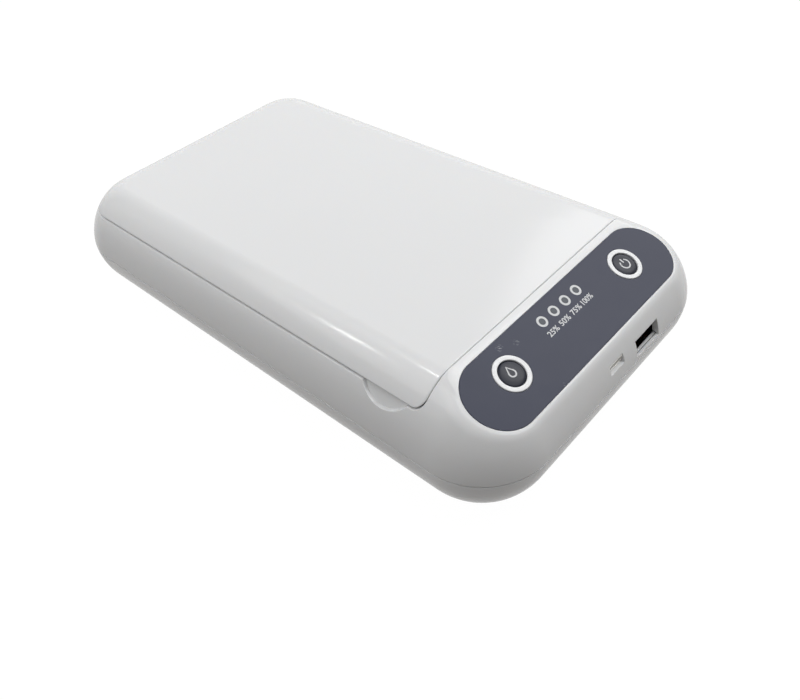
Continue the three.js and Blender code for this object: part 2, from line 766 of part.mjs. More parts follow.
place('lid_sensor', block([sensorX, sensorY, deckTop - sensorHeight],
  [sensorX + sensorDepth, sensorY + sensorLength, deckTop]), socketBlack);

// Panel: film, buttons with their rings and switches, level lights, board and its screws
function lathe(points) {
  const profile = points.map(([radius, height]) => new THREE.Vector2(radius, height));
  return new THREE.LatheGeometry(profile, ringRound).rotateX(quarterTurn);
}
const filmBottom = seatGap - filmRecess;
const filmHoles = buttonPlaces.map(({ v }) => post(buttonRingOuter + filmClearance, -overrun, overrun,
  buttonU, v, ringRound));
const filmSheet = raised(stadium(filmWidth, filmLength), filmBottom, filmBottom + filmThickness, filmMiddle);
place('control_film', cutAll(filmSheet, filmHoles), filmGrey, panel);
for (const { name, v } of buttonPlaces) {
  const ringProfile = [
    [buttonRingInner, filmBottom],
    [buttonRingOuter, filmBottom],
    [buttonRingOuter, filmBottom + buttonRingHeight],
    [buttonRingInner, filmBottom + buttonRingHeight],
    [buttonRingInner, filmBottom],
  ];
  const capRadius = buttonRingInner - buttonClearance;
  const capProfile = [
    [0, stemEnd],
    [buttonStem, stemEnd],
    [buttonStem, stemEnd + buttonStemLength],
    [buttonFlange, stemEnd + buttonStemLength],
    [buttonFlange, flangeTop],
    [capRadius, flangeTop],
    [capRadius, capTop],
    [capRadius - buttonDish, capTop + buttonDish],
    [0, capTop],
  ];
  place(`${name}_ring`, lathe(ringProfile), ringWhite, panel).position.set(buttonU, v, 0);
  place(`${name}_cap`, lathe(capProfile), capGrey, panel).position.set(buttonU, v, 0);
  const switchLow = controlTop + boardGap;
  const body = block([buttonU - switchSize / 2, v - switchSize / 2, switchLow],
    [buttonU + switchSize / 2, v + switchSize / 2, switchLow + switchHeight]);
  place(`${name}_switch`, body.add(post(switchPlunger, switchLow, plungerTop, buttonU, v, slimRound)),
    socketBlack, panel);
}
lightPlaces.forEach((v, step) => {
  const low = controlTop + boardGap;
  const dome = solid(new THREE.SphereGeometry(lightRadius, slimRound, smallRound)
    .translate(lightU, v, low + lightHeight - lightRadius));
  const stalk = post(lightRadius, low, low + lightHeight - lightRadius, lightU, v, slimRound);
  place(`level_light_${step + 1}`, stalk.add(dome), clearPlastic, panel);
});
const controlEnd = controlBoardStart + controlBoardWidth;
const controlHoles = sides.map(({ sign }) => post(boardScrewHole, -boxHeight, 0,
  buttonU, sign * boardPostSpan / 2, smallRound));
place('control_board', cutAll(block([controlBoardStart, -controlBoardLength / 2, controlBottom],
  [controlEnd, controlBoardLength / 2, controlTop]), controlHoles), boardGreen, panel);
for (const { side, sign } of sides) {
  const headTop = controlBottom - boardGap;
  const y = sign * boardPostSpan / 2;
  place(`board_screw_${side}`, post(boardScrewRadius, headTop - boardScrewHeadHeight / 2,
    headTop + boardScrewLength, buttonU, y, smallRound).add(post(boardScrewHead,
    headTop - boardScrewHeadHeight, headTop, buttonU, y, holeRound)), steel, panel);
}
box.add(panel);

// Port board with its two sockets hung under it
const portBottom = microHeight + microTall / 2 + boardGap;
place('port_board', block([portBoardEnd - portBoardLength, microPlace - portBoardMicroMargin, portBottom],
  [portBoardEnd, usbPlace + portBoardUsbMargin, portBottom + boardThickness]), boardGreen);
const usbTop = usbHeight + usbTall / 2;
const usbTabs = sides.map(({ sign }) => {
  const y = usbPlace + sign * (usbWidth / 2 - usbTabHeight);
  return block([portBoardEnd - 2 * usbTabLength, y - usbSheet, usbTop - usbSheet],
    [portBoardEnd - usbTabLength, y + usbSheet, usbTop + usbTabHeight]);
});
place('usb_a_shell', joinAll(socketShell(usbFront, usbDepth, usbPlace, usbHeight, usbWidth, usbTall,
  usbSheet, usbSheet), usbTabs), steel);
const usbTongueZ = usbHeight + usbTongueRise;
place('usb_a_tongue', block([usbFront - usbDepth + usbSheet + seatGap / 2, usbPlace - usbTongueWidth / 2,
  usbTongueZ - usbTongueTall / 2],
[usbFront - usbTongueSetback, usbPlace + usbTongueWidth / 2, usbTongueZ + usbTongueTall / 2]), socketBlack);
place('micro_usb_shell', socketShell(microFront, microDepth, microPlace, microHeight, microWidth, microTall,
  microSheet, microChamfer), steel);
const microTongueFront = microFront - microChamfer;
place('micro_usb_tongue', block([microFront - microDepth + microSheet + seatGap / 2,
  microPlace - microTongueWidth / 2, microHeight - microTongueTall / 2],
[microTongueFront, microPlace + microTongueWidth / 2, microHeight + microTongueTall / 2]), socketBlack);

// Lamp driver under the tray
const driverLow = footProud + shellWall + driverPegHeight + boardGap;
place('driver_board', block([driverBoardStart, -driverBoardHalfWidth, driverLow],
  [driverBoardEnd, driverBoardHalfWidth, driverLow + boardThickness]), boardGreen);
const coilLow = driverLow + boardThickness + boardGap;
const coilX = driverBoardEnd - driverPegInset - transformerLength;
place('driver_transformer', block([coilX, -transformerWidth / 2, coilLow],
  [coilX + transformerLength, transformerWidth / 2, coilLow + transformerHeight]), socketBlack);

// Scent pad under its pierced cap, and the clear rails that keep items off the mirror
const padLow = chamberFloor + scentClearance;
const padRadius = scentRing - scentRingWall - scentClearance;
place('scent_pad', post(padRadius, padLow, padLow + scentPadHeight, scentPlace, scentSide), felt);
const grilleLow = padLow + scentPadHeight + scentClearance;
const grilleHoles = [post(scentHole, 0, boxHeight, scentPlace, scentSide, smallRound)];
for (let hole = 0; hole < scentHoleCount; hole += 1) {
  const angle = 4 * quarterTurn * hole / scentHoleCount;
  grilleHoles.push(post(scentHole, 0, boxHeight, scentPlace + scentHolePitch * Math.cos(angle),
    scentSide + scentHolePitch * Math.sin(angle), smallRound));
}
place('scent_grille', cutAll(post(padRadius, grilleLow, grilleLow + scentGrilleHeight,
  scentPlace, scentSide), grilleHoles), whiteSatin);
const railLow = chamberFloor + 2 * seatGap + mirrorThickness;
const railStart = chamberRear + chamberCorner;
const railEnd = chamberFront - railEndMargin;
for (const { side, sign } of sides) {
  const outline = roundedRectangle((railEnd - railStart) / 2, railWidth / 2, tightestCorner);
  place(`rest_rail_${side}`, raised(outline, railLow, railLow + railHeight,
    (railStart + railEnd) / 2, sign * railSpan / 2), clearPlastic);
}

// Feet and case screws
for (const [end, along] of [['hinge', -1], ['panel', 1]]) {
  for (const { side, sign } of sides) {
    place(`foot_${end}_${side}`, post(footRadius, 0, footProud + footSunk,
      along * footPlace, sign * footSide), rubber);
  }
}
for (const { label, x, y } of screwPlaces) {
  const headTop = screwSeat - seatGap;
  place(`case_screw_${label}`, post(screwHeadRadius, headTop - screwHeadHeight, headTop, x, y, holeRound)
    .add(post(screwRadius, headTop - screwHeadHeight / 2, screwTip, x, y, smallRound)), steel);
}

export default box;
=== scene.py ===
# %% [markdown]
# # An ultraviolet sterilizer box
# The object is a flat white box, a little longer than a hand. A hinged lid shuts over a mirrored
# chamber with two lamps, and a slanted dark strip at one end carries two push buttons, four
# charge lights and their numbers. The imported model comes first: it holds every piece at its real
# place, and everything below is fitted around it.

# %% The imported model
import json
import math

import bmesh
import bpy
import numpy as np
from mathutils import Matrix, Vector
from mathutils.bvhtree import BVHTree
from mathutils.interpolate import poly_3d_calc

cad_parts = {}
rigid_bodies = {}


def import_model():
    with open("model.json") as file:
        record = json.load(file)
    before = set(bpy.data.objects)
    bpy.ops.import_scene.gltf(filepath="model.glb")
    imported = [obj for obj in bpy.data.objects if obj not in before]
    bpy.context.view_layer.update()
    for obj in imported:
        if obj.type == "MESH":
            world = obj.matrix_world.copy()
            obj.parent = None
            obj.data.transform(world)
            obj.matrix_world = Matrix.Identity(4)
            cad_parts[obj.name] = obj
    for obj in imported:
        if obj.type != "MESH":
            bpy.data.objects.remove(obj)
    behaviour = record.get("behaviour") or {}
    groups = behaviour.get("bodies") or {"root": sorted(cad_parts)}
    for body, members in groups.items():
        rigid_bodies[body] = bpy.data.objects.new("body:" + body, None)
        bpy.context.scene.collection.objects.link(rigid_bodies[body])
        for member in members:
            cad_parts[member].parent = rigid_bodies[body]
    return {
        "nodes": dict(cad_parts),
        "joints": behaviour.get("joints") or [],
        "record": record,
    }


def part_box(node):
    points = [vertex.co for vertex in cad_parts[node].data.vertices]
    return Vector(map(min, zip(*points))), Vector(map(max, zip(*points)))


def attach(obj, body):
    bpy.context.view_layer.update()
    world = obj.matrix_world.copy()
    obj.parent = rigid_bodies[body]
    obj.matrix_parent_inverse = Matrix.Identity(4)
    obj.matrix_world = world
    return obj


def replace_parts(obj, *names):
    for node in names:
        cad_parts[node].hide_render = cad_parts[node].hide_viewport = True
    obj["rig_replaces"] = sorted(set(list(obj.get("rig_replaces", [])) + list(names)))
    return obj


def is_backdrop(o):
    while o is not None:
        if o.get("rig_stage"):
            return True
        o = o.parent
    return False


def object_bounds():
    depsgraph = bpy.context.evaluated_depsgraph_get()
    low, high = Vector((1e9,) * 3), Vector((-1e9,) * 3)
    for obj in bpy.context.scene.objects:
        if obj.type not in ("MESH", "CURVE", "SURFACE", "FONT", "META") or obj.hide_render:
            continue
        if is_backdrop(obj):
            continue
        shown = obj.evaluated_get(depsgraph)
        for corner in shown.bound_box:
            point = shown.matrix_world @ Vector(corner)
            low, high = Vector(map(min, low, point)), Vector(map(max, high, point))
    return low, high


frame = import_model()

lowest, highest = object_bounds()
print("CAD box in mm:", [round(1000 * size, 2) for size in highest - lowest])

# %% [markdown]
# ## Sizes
# A lesson is easier to follow when each size has a name. The outer sizes are read from the packed
# model, so the smooth shells that replace its faceted ones can't grow past it. The others are
# written once here, in millimetres turned into Blender's metres. Sizes that belong to one piece
# only stand beside that piece. The gap round the lid is drawn finer in front than at the sides,
# as it looks on the real box.

# %% Driving sizes
MM = 0.001
half_length = highest.x
half_width = highest.y
top_height = highest.z
seam_height = 25.2 * MM
shoulder_rise = top_height - seam_height
end_shoulder = 19.4 * MM
side_shoulder = 18.7 * MM
belly_run = 24.8 * MM
foot_proud = 1 * MM
belly_rise = seam_height - foot_proud
plan_corner = 23.9 * MM
shoulder_power = 1.7
belly_power = 2.0
wall = 2.2 * MM
lid_wall = 2 * MM
half_seam = 0.15 * MM
half_gap = 0.25 * MM
shown_gap = 0.16 * MM
parting_height = 39.8 * MM
lid_front = 78.2 * MM
lid_foot = 3.6 * MM
deck_top = parting_height - half_gap
lid_bottom = parting_height + half_gap
edge_round = 0.3 * MM
small = 0.3 * MM
weld = 0.0005 * MM
far_out = 0.4
quarter = math.pi / 2
print("wall in mm:", round(wall / MM, 2), "and parting line at", round(parting_height / MM, 2))

# %% [markdown]
# The slanted strip has a frame of its own: x runs down the slope and z stands on the face. The
# buttons move straight into the face, so their joint's axis says how far the face leans.

# %% The slanted face
press_axis = Vector(next(j["axis"] for j in frame["joints"] if j["child"] == "scent_button"))
panel_angle = math.atan2(-press_axis.x, -press_axis.z)
hood_land = 0.4 * MM
hood_edge = lid_front + half_gap + hood_land
panel = Matrix.Translation((hood_edge, 0, top_height)) @ Matrix.Rotation(panel_angle, 4, "Y")
panel_slope = math.tan(panel_angle)
print("the face leans by", round(math.degrees(panel_angle), 2), "degrees")

# %% [markdown]
# ## Writing node trees as sums
# Geometry and shader trees both do arithmetic with Math nodes. Wiring them one by one hides the
# formula, so this small class wraps a socket and lets Python's own signs add the nodes. One more
# helper makes any other node from its type, its settings and the values of its sockets.

# %% Sockets in Python expressions
class Wire:
    """An output socket that can stand in a Python expression."""

    def __init__(self, tree, socket):
        self.tree = tree
        self.socket = socket

    def math(self, operation, *others, swapped=False):
        node = self.tree.nodes.new("ShaderNodeMath")
        node.operation = operation
        operands = [self, *others]
        if swapped:
            operands.reverse()
        for socket, value in zip(node.inputs, operands):
            feed(socket, value)
        return Wire(self.tree, node.outputs[0])

    def __add__(self, other):
        return self.math("ADD", other)

    def __sub__(self, other):
        return self.math("SUBTRACT", other)

    def __rsub__(self, other):
        return self.math("SUBTRACT", other, swapped=True)

    def __mul__(self, other):
        return self.math("MULTIPLY", other)

    def __truediv__(self, other):
        return self.math("DIVIDE", other)

    def __rtruediv__(self, other):
        return self.math("DIVIDE", other, swapped=True)

    def __pow__(self, other):
        return self.math("POWER", other)

    __radd__ = __add__
    __rmul__ = __mul__

    def least(self, other):
        return self.math("MINIMUM", other)

    def most(self, other):
        return self.math("MAXIMUM", other)

    def above(self, other):
        return self.math("GREATER_THAN", other)

    def clamped(self):
        return self.most(0).least(1)

    def eased(self):
        share = self.clamped()
        return share * share * (3 - 2 * share)

    def towards(self, other, share):
        return self + (other - self) * share


# %% Nodes with their settings and values
def feed(socket, value):
    """Links a wire to a socket, or sets the socket's own value."""
    if isinstance(value, Wire):
        value.tree.links.new(value.socket, socket)
    else:
        socket.default_value = value


def add_node(tree, kind, settings=None, values=None):
    """A node of any kind: settings are its properties, values are its inputs by name or number."""
    node = tree.nodes.new(kind)
    for name, value in (settings or {}).items():
        setattr(node, name, value)
    for name, value in (values or {}).items():
        feed(node.inputs[name], value)
    return node


def out(tree, node, name=0):
    """A wire from one of a node's outputs."""
    return Wire(tree, node.outputs[name])


# %% A geometry tree with named inputs
def geometry_tree(name, inputs, takes_geometry=False):
    """An empty tree, and a wire for each of its named inputs."""
    tree = bpy.data.node_groups.new(name, "GeometryNodeTree")
    if takes_geometry:
        tree.interface.new_socket("Geometry", in_out="INPUT", socket_type="NodeSocketGeometry")
    for title, kind in inputs.items():
        tree.interface.new_socket(title, in_out="INPUT", socket_type=f"NodeSocket{kind}")
    tree.interface.new_socket("Geometry", in_out="OUTPUT", socket_type="NodeSocketGeometry")
    entry = tree.nodes.new("NodeGroupInput")
    return tree, {socket.name: Wire(tree, socket) for socket in entry.outputs if socket.name}


def finish_tree(tree, geometry):
    """Hands the geometry to the tree's output."""
    leave = tree.nodes.new("NodeGroupOutput")
    feed(leave.inputs[0], geometry)


def run_tree(piece, tree, values):
    """Sets a tree's inputs by their identifiers and turns the result into the piece's own mesh."""
    modifier = piece.modifiers.new(tree.name, "NODES")
    modifier.node_group = tree
    for socket in tree.interface.items_tree:
        if socket.in_out == "INPUT" and socket.name in values:
            modifier[socket.identifier] = values[socket.name]
    bake_modifiers(piece)


# %% Pieces with plain, clean meshes
def bake_modifiers(piece):
    """The evaluated shape becomes the piece's mesh, and its modifiers go."""
    graph = bpy.context.evaluated_depsgraph_get()
    mesh = bpy.data.meshes.new_from_object(piece.evaluated_get(graph))
    mesh.name = piece.name
    piece.modifiers.clear()
    piece.data = mesh


def add_object(name, data):
    """An object in the scene that shows a mesh, a text, a lamp or a camera."""
    thing = bpy.data.objects.new(name, data)
    bpy.context.scene.collection.objects.link(thing)
    return thing


def new_piece(name, vertices=(), faces=()):
    """An object with a mesh of these vertices and faces."""
    mesh = bpy.data.meshes.new(name)
    mesh.from_pydata(vertices, [], faces)
    return add_object(name, mesh)


def heal(piece, distance=weld):
    """Merges doubles, drops flat faces and turns every face outwards."""
    work = bmesh.new()
    work.from_mesh(piece.data)
    bmesh.ops.remove_doubles(work, verts=work.verts, dist=distance)
    bmesh.ops.dissolve_degenerate(work, edges=work.edges, dist=distance)
    bmesh.ops.recalc_face_normals(work, faces=work.faces)
    work.to_mesh(piece.data)
    work.free()
    return piece


# %% [markdown]
# ## The loaf
# The whole casing is one form: a flat loaf with round corners in plan, and sides that follow a
# superellipse up to the flat top and down to the flat bottom. That is a rule, so Geometry Nodes
# make it. Each row of a grid becomes a level ring and each column one point of the ring, placed by
# the formula. The same tree gives the bowl, the hood, the lid with its square front, and, drawn in
# by a wall's thickness, the room inside each of them.

# %% The tree for the loaf
counts = ("Columns", "Edge Rows", "Skin Rows")
lengths = ("Half Length", "Half Width", "Corner", "Offset", "Seam", "Direction", "Low", "Rise",
           "End Run", "Side Run", "Power", "Edge", "Front", "Front Foot", "Front Lip",
           "Front Corner")
loaf_inputs = {**dict.fromkeys(counts, "Int"), **dict.fromkeys(lengths, "Float")}
loaf_tree, put = geometry_tree("Loaf", loaf_inputs)
rows = put["Edge Rows"] + put["Skin Rows"] + 2
grid = add_node(loaf_tree, "GeometryNodeMeshGrid", values={
    "Size X": 1, "Size Y": 1, "Vertices X": put["Columns"] + 1, "Vertices Y": rows + 1})
place = add_node(loaf_tree, "ShaderNodeSeparateXYZ", values={
    0: out(loaf_tree, add_node(loaf_tree, "GeometryNodeInputPosition"))})
around = (out(loaf_tree, place, "X") + 0.5) * 4
row = (out(loaf_tree, place, "Y") + 0.5) * rows

# %% The height of each ring, and how far it is drawn in
least_corner = 1.2 * MM
rise = put["Rise"] - put["Offset"]
end_run = put["End Run"] - put["Offset"]
side_run = put["Side Run"] - put["Offset"]
edge_angle = ((row - 1) / put["Edge Rows"]).clamped() * quarter
edge_start = put["Low"] + put["Edge"]
low_angle = ((edge_start / rise) ** (put["Power"] / 2)).math("ARCSINE")
skin_share = ((row - 1 - put["Edge Rows"]) / put["Skin Rows"]).clamped()
skin_angle = low_angle.towards(quarter, skin_share)
skin_height = rise * skin_angle.math("SINE") ** (2 / put["Power"])
height = skin_height - put["Edge"] * edge_angle.math("COSINE")
extra = put["Edge"] * (1 - edge_angle.math("SINE"))
run = 1 - (1 - (height / rise).clamped() ** put["Power"]).most(0) ** (1 / put["Power"])
ring_x = put["Half Length"] - put["Offset"] - extra - run * end_run
ring_y = put["Half Width"] - put["Offset"] - extra - run * side_run
ring_corner = put["Corner"] - put["Offset"] - extra - run * end_run.least(side_run)
ring_corner = ring_corner.most(least_corner)

# %% The square front of the lid, with its rounded foot and lip
foot = put["Front Foot"]
lip = put["Front Lip"]
foot_depth = (foot - (height - put["Low"])).most(0)
lip_depth = (height - rise + lip).most(0)
front = (put["Front"] - extra - foot - lip
         + (foot * foot - foot_depth * foot_depth).most(0).math("SQRT")
         + (lip * lip - lip_depth * lip_depth).most(0).math("SQRT"))
is_cut = ring_x.above(front)
front_x = ring_x.least(front)
front_corner = ring_corner.towards(put["Front Corner"], is_cut)

# %% The point on each ring
side = around.math("FLOOR").least(3)
share = around - side
arc = (share * 2).clamped()
straight = (share * 2 - 1).eased()


def corner_of(number):
    """The middle and the radius of one of the ring's four corners."""
    along = (number * quarter + quarter / 2).math("COSINE").above(0)
    across = (number * quarter + quarter / 2).math("SINE").above(0) * 2 - 1
    radius = ring_corner.towards(front_corner, along)
    middle_x = (ring_corner - ring_x).towards(front_x - front_corner, along)
    return middle_x, across * (ring_y - radius), radius


here = corner_of(side)
there = corner_of(side + 1)
middle_x, middle_y, radius = (a.towards(b, straight) for a, b in zip(here, there))
turn = (side + arc) * quarter
is_ring = row.above(0.5) * (rows - row).above(0.5)
point_x = (middle_x + radius * turn.math("COSINE")) * is_ring
point_y = (middle_y + radius * turn.math("SINE")) * is_ring
point_z = put["Seam"] + put["Direction"] * height
point = add_node(loaf_tree, "ShaderNodeCombineXYZ", values={0: point_x, 1: point_y, 2: point_z})
moved = add_node(loaf_tree, "GeometryNodeSetPosition", values={
    "Geometry": out(loaf_tree, grid), "Position": out(loaf_tree, point)})
merged = add_node(loaf_tree, "GeometryNodeMergeByDistance", values={
    "Geometry": out(loaf_tree, moved), "Distance": weld})
finish_tree(loaf_tree, out(loaf_tree, merged))
print("the loaf's tree has", len(loaf_tree.nodes), "nodes")

# %% Upper and lower settings
# A round of almost nothing leaves an edge sharp, and a front a metre away cuts nothing off
no_round, no_front = 0.0001 * MM, 1.0
lid_front_corner = 0.6 * MM
upper_form = {
    "Columns": 320, "Edge Rows": 4, "Skin Rows": 48, "Half Length": half_length,
    "Half Width": half_width, "Corner": plan_corner, "Offset": 0.0, "Seam": seam_height,
    "Direction": 1.0, "Low": half_seam, "Rise": shoulder_rise, "End Run": end_shoulder,
    "Side Run": side_shoulder, "Power": shoulder_power, "Edge": no_round,
    "Front": no_front, "Front Foot": 0.0, "Front Lip": 0.0, "Front Corner": lid_front_corner,
}
lower_form = {**upper_form, "Direction": -1.0, "Rise": belly_rise, "End Run": belly_run,
              "Side Run": belly_run, "Power": belly_power}


def make_loaf(name, form, **changes):
    """A loaf of one form, with some of its inputs changed."""
    piece = new_piece(name)
    run_tree(piece, loaf_tree, {**form, **{key.replace("_", " "): v for key, v in changes.items()}})
    return heal(piece)


# %% [markdown]
# ## Cutting and joining
# Recesses, mouths and bores are cut with Boolean modifiers, which is how the moulds of such a case
# are drawn as well. A cut leaves long thin faces, and their normals would dent a glossy skin. So
# each corner that still lies on the uncut form takes its normal from that form.

# %% Booleans
def combine(piece, tool, operation="DIFFERENCE", keep=False):
    """Cuts, joins or intersects a piece with a tool, which then goes unless it is kept."""
    modifier = piece.modifiers.new("Cut", "BOOLEAN")
    modifier.operation = operation
    modifier.solver = "MANIFOLD"
    modifier.object = tool
    bake_modifiers(piece)
    if not keep:
        bpy.data.objects.remove(tool)
    return piece


def cut(piece, *tools):
    """Takes the shape of each tool away from a piece."""
    for tool in tools:
        combine(piece, tool)


def discard(*pieces):
    for piece in pieces:
        bpy.data.objects.remove(piece)


def shift(piece, matrix):
    """Moves the points of a piece, while its own place stays at zero."""
    piece.data.transform(matrix)
    return piece


# %% Solids through rings
def rounded_ring(half_x, half_y, corner, height, centre=(0, 0), steps=24):
    """A level ring: a rectangle with round corners, anticlockwise."""
    points = []
    for number in range(4):
        sign_x = 1 if number in (0, 3) else -1
        sign_y = 1 if number < 2 else -1
        corner_x = centre[0] + sign_x * (half_x - corner)
        corner_y = centre[1] + sign_y * (half_y - corner)
        for step in range(steps + 1):
            turn = (number + step / steps) * quarter
            points.append((corner_x + corner * math.cos(turn), corner_y + corner * math.sin(turn),
                           height))
    return points


def circle(radius, height, steps=96):
    """A level ring of points round Z."""
    turns = [4 * quarter * step / steps for step in range(steps)]
    return [(radius * math.cos(t), radius * math.sin(t), height) for t in turns]


def ring_faces(rings, closed=False):
    """Faces between rings that have as many points each; closed joins the last to the first."""
    count = len(rings[0])
    faces = []
    for level in range(len(rings) if closed else len(rings) - 1):
        below = level * count
        above = (level + 1) % len(rings) * count
        for number in range(count):
            after = (number + 1) % count
            faces.append((below + number, below + after, above + after, above + number))
    return faces


def loft(name, rings):
    """A solid through rings, shut by its first and its last ring."""
    count = len(rings[0])
    vertices = [point for ring in rings for point in ring]
    ends = [list(range(count))[::-1], list(range(len(vertices) - count, len(vertices)))]
    return heal(new_piece(name, vertices, ends + ring_faces(rings)))


# %% Prisms, turned pieces, boxes and posts
def prism(name, half_x, half_y, corner, low, high, centre=(0, 0), steps=24):
    """An upright block with round corners."""
    return loft(name, [rounded_ring(half_x, half_y, corner, z, centre, steps) for z in (low, high)])


def turned(name, profile, steps=64):
    """A solid of revolution about Z, from (radius, height) points that start and end on the axis."""
    return loft(name, [circle(radius, height, steps) for radius, height in profile])


def block(name, low, high):
    """A box between two opposite corners."""
    xs, ys, zs = zip(low, high)
    ring = [(xs[1], ys[1]), (xs[0], ys[1]), (xs[0], ys[0]), (xs[1], ys[0])]
    return loft(name, [[(x, y, z) for x, y in ring] for z in zs])


def post(name, radius, low, high, place=(0, 0), steps=48):
    """An upright round post."""
    piece = turned(name, [(radius, low), (radius, high)], steps)
    return shift(piece, Matrix.Translation((*place, 0)))


# %% Normals for a cut skin
skin_reach = 0.02 * MM
sharp_turn = math.radians(32)
alike = math.cos(math.radians(35))


def skin_normals(mesh, skin):
    """The skin's smooth normal at each vertex of the mesh, or None where the skin is out of reach."""
    places = [vertex.co.copy() for vertex in skin.vertices]
    smooth = [vertex.normal.copy() for vertex in skin.vertices]
    polygons = [tuple(polygon.vertices) for polygon in skin.polygons]
    tree = BVHTree.FromPolygons(places, polygons)
    found = []
    for vertex in mesh.vertices:
        spot, normal, face, _ = tree.find_nearest(vertex.co, skin_reach)
        if face is not None:
            corners = polygons[face]
            weights = poly_3d_calc([places[c] for c in corners], spot)
            normal = sum((smooth[c] * w for c, w in zip(corners, weights)), Vector())
            normal.normalize()
        found.append(normal)
    return found


def carry_normals(piece, skin=None):
    """Shades a piece smooth; corners that lie on the uncut skin take that skin's normal."""
    mesh = piece.data
    mesh.shade_smooth()
    mesh.set_sharp_from_angle(angle=sharp_turn)
    normals = np.empty(3 * len(mesh.loops), np.float32)
    mesh.corner_normals.foreach_get("vector", normals)
    normals = normals.reshape(-1, 3)
    found = skin_normals(mesh, skin.data) if skin else [None] * len(mesh.vertices)
    carried = 0
    for polygon in mesh.polygons:
        for loop in polygon.loop_indices:
            normal = found[mesh.loops[loop].vertex_index]
            if normal is not None and polygon.normal.dot(normal) > alike:
                normals[loop] = normal
                carried += 1
    mesh.normals_split_custom_set(normals.tolist())
    print(piece.name, "has", len(mesh.polygons), "faces and", carried, "carried normals")
    return piece


# %% [markdown]
# ## The bowl
# The lower shell is the loaf below the seam, turned over and hollowed. A lip inside its rim closes
# the fine gap at the seam, so that no light falls through it.

# %% The lower shell
def inset(name, distance, low, high):
    """A prism of the loaf's plan, drawn in by a distance."""
    sizes = [size - distance for size in (half_length, half_width, plan_corner)]
    return prism(name, *sizes, low, high)


lip_inset, lip_low, lip_high = 1.4 * MM, 23.4 * MM, 27.1 * MM
lip_over = 1 * MM
lower_case = make_loaf("lower_case", lower_form, Edge=edge_round)
lower_skin = make_loaf("lower_skin", lower_form, Edge=edge_round)
cut(lower_case, make_loaf("lower_room", lower_form, Offset=wall, Low=0.0))
lip_ring = inset("lip", lip_inset, lip_low, lip_high)
cut(lip_ring, inset("lip_room", wall, lip_low - lip_over, lip_high + lip_over))
combine(lower_case, lip_ring, "UNION")

# %% [markdown]
# Four screws hold the two shells together from below, and four rubber feet sit in shallow seats.
# Each screw stands in a boss with a wide seat for its head and a narrow hole for its shank. They
# are round, so each is a post, added to the bowl or cut out of it.

# %% Bosses for the case screws and seats for the feet
foot_x, foot_y = 72 * MM, 28 * MM
foot_spots = [(x * foot_x, y * foot_y) for x in (-1, 1) for y in (-1, 1)]
screw_spots = [(x, sign * y) for x, y in ((-82 * MM, 52 * MM), (90 * MM, 46 * MM)) for sign in (1, -1)]
boss_radius, boss_low = 3.8 * MM, 2 * MM
screw_seat_radius, screw_seat_top = 3.2 * MM, 9 * MM
shank_hole_radius = 1.75 * MM
foot_seat_radius, foot_seat_top = 5.3 * MM, 1.9 * MM
for spot in screw_spots:
    boss = post("boss", boss_radius, boss_low, seam_height - 2 * small, spot)
    combine(boss, lower_skin, "INTERSECT", keep=True)
    combine(lower_case, boss, "UNION")
    cut(lower_case, post("screw_seat", screw_seat_radius, -wall, screw_seat_top, spot),
        post("shank_hole", shank_hole_radius, -wall, 2 * seam_height, spot))
for spot in foot_spots:
    cut(lower_case, post("foot_seat", foot_seat_radius, -wall, foot_seat_top, spot))
carry_normals(lower_case, lower_skin)
discard(lower_skin)

# %% [markdown]
# ## The upper shell and its hood
# At the panel end the loaf is cut by the slanted face. On the real case the cut isn't sharp: the
# skin rolls over into the face. A second tree lowers the skin near the cut by a smooth minimum of
# skin and face, wide along the sides and narrow at the end.

# %% The tree for the rolled edge
least_roll = 0.01 * MM
tiny = 0.000001
roll_names = ("Edge X", "Edge Z", "Slope", "End Roll", "Side Roll", "Fade", "Above")
roll_inputs = dict.fromkeys(roll_names, "Float")
roll_tree, put = geometry_tree("Rolled edge", roll_inputs, takes_geometry=True)
spot = add_node(roll_tree, "ShaderNodeSeparateXYZ", values={
    0: out(roll_tree, add_node(roll_tree, "GeometryNodeInputPosition"))})
lean = add_node(roll_tree, "ShaderNodeSeparateXYZ", values={
    0: out(roll_tree, add_node(roll_tree, "GeometryNodeInputNormal"))})
x, y, z = (out(roll_tree, spot, axis) for axis in "XYZ")
lean_x, lean_y, lean_z = (out(roll_tree, lean, axis) for axis in "XYZ")
face = put["Edge Z"] - (x - put["Edge X"]) * put["Slope"]
over = z - face
side_share = (lean_y * lean_y / (lean_x * lean_x + lean_y * lean_y + tiny)).eased()
fade = ((put["Edge Z"] - z) / put["Fade"]).eased()
roll = (put["End Roll"].towards(put["Side Roll"], side_share) * fade).most(least_roll)
near = (roll - over.math("ABSOLUTE")).most(0)
rolled = face + over.least(0) + (over - roll).most(0) * put["Above"] - near * near / (roll * 4)
spot_new = add_node(roll_tree, "ShaderNodeCombineXYZ", values={0: x, 1: y, 2: rolled})
is_hood = x.above(put["Edge X"]) * lean_z.above(0.0)
changed = add_node(roll_tree, "GeometryNodeSetPosition", values={
    "Geometry": put["Geometry"], "Selection": is_hood, "Position": out(roll_tree, spot_new)})
finish_tree(roll_tree, out(roll_tree, changed))
roll_form = {"Edge X": hood_edge, "Edge Z": top_height, "Slope": panel_slope,
             "End Roll": 1.0 * MM, "Side Roll": 2.4 * MM, "Fade": 1.5 * MM}
print("the rolled edge's tree has", len(roll_tree.nodes), "nodes")

# %% The blank of the upper shell
hood_form = {**upper_form, "Skin Rows": 96, "Columns": 560}
upper_case = make_loaf("upper_case", hood_form, Edge=edge_round)
upper_skin = make_loaf("upper_skin", hood_form, Edge=edge_round)
run_tree(upper_case, roll_tree, {**roll_form, "Above": 1.0})
run_tree(upper_skin, roll_tree, {**roll_form, "Above": 0.0})


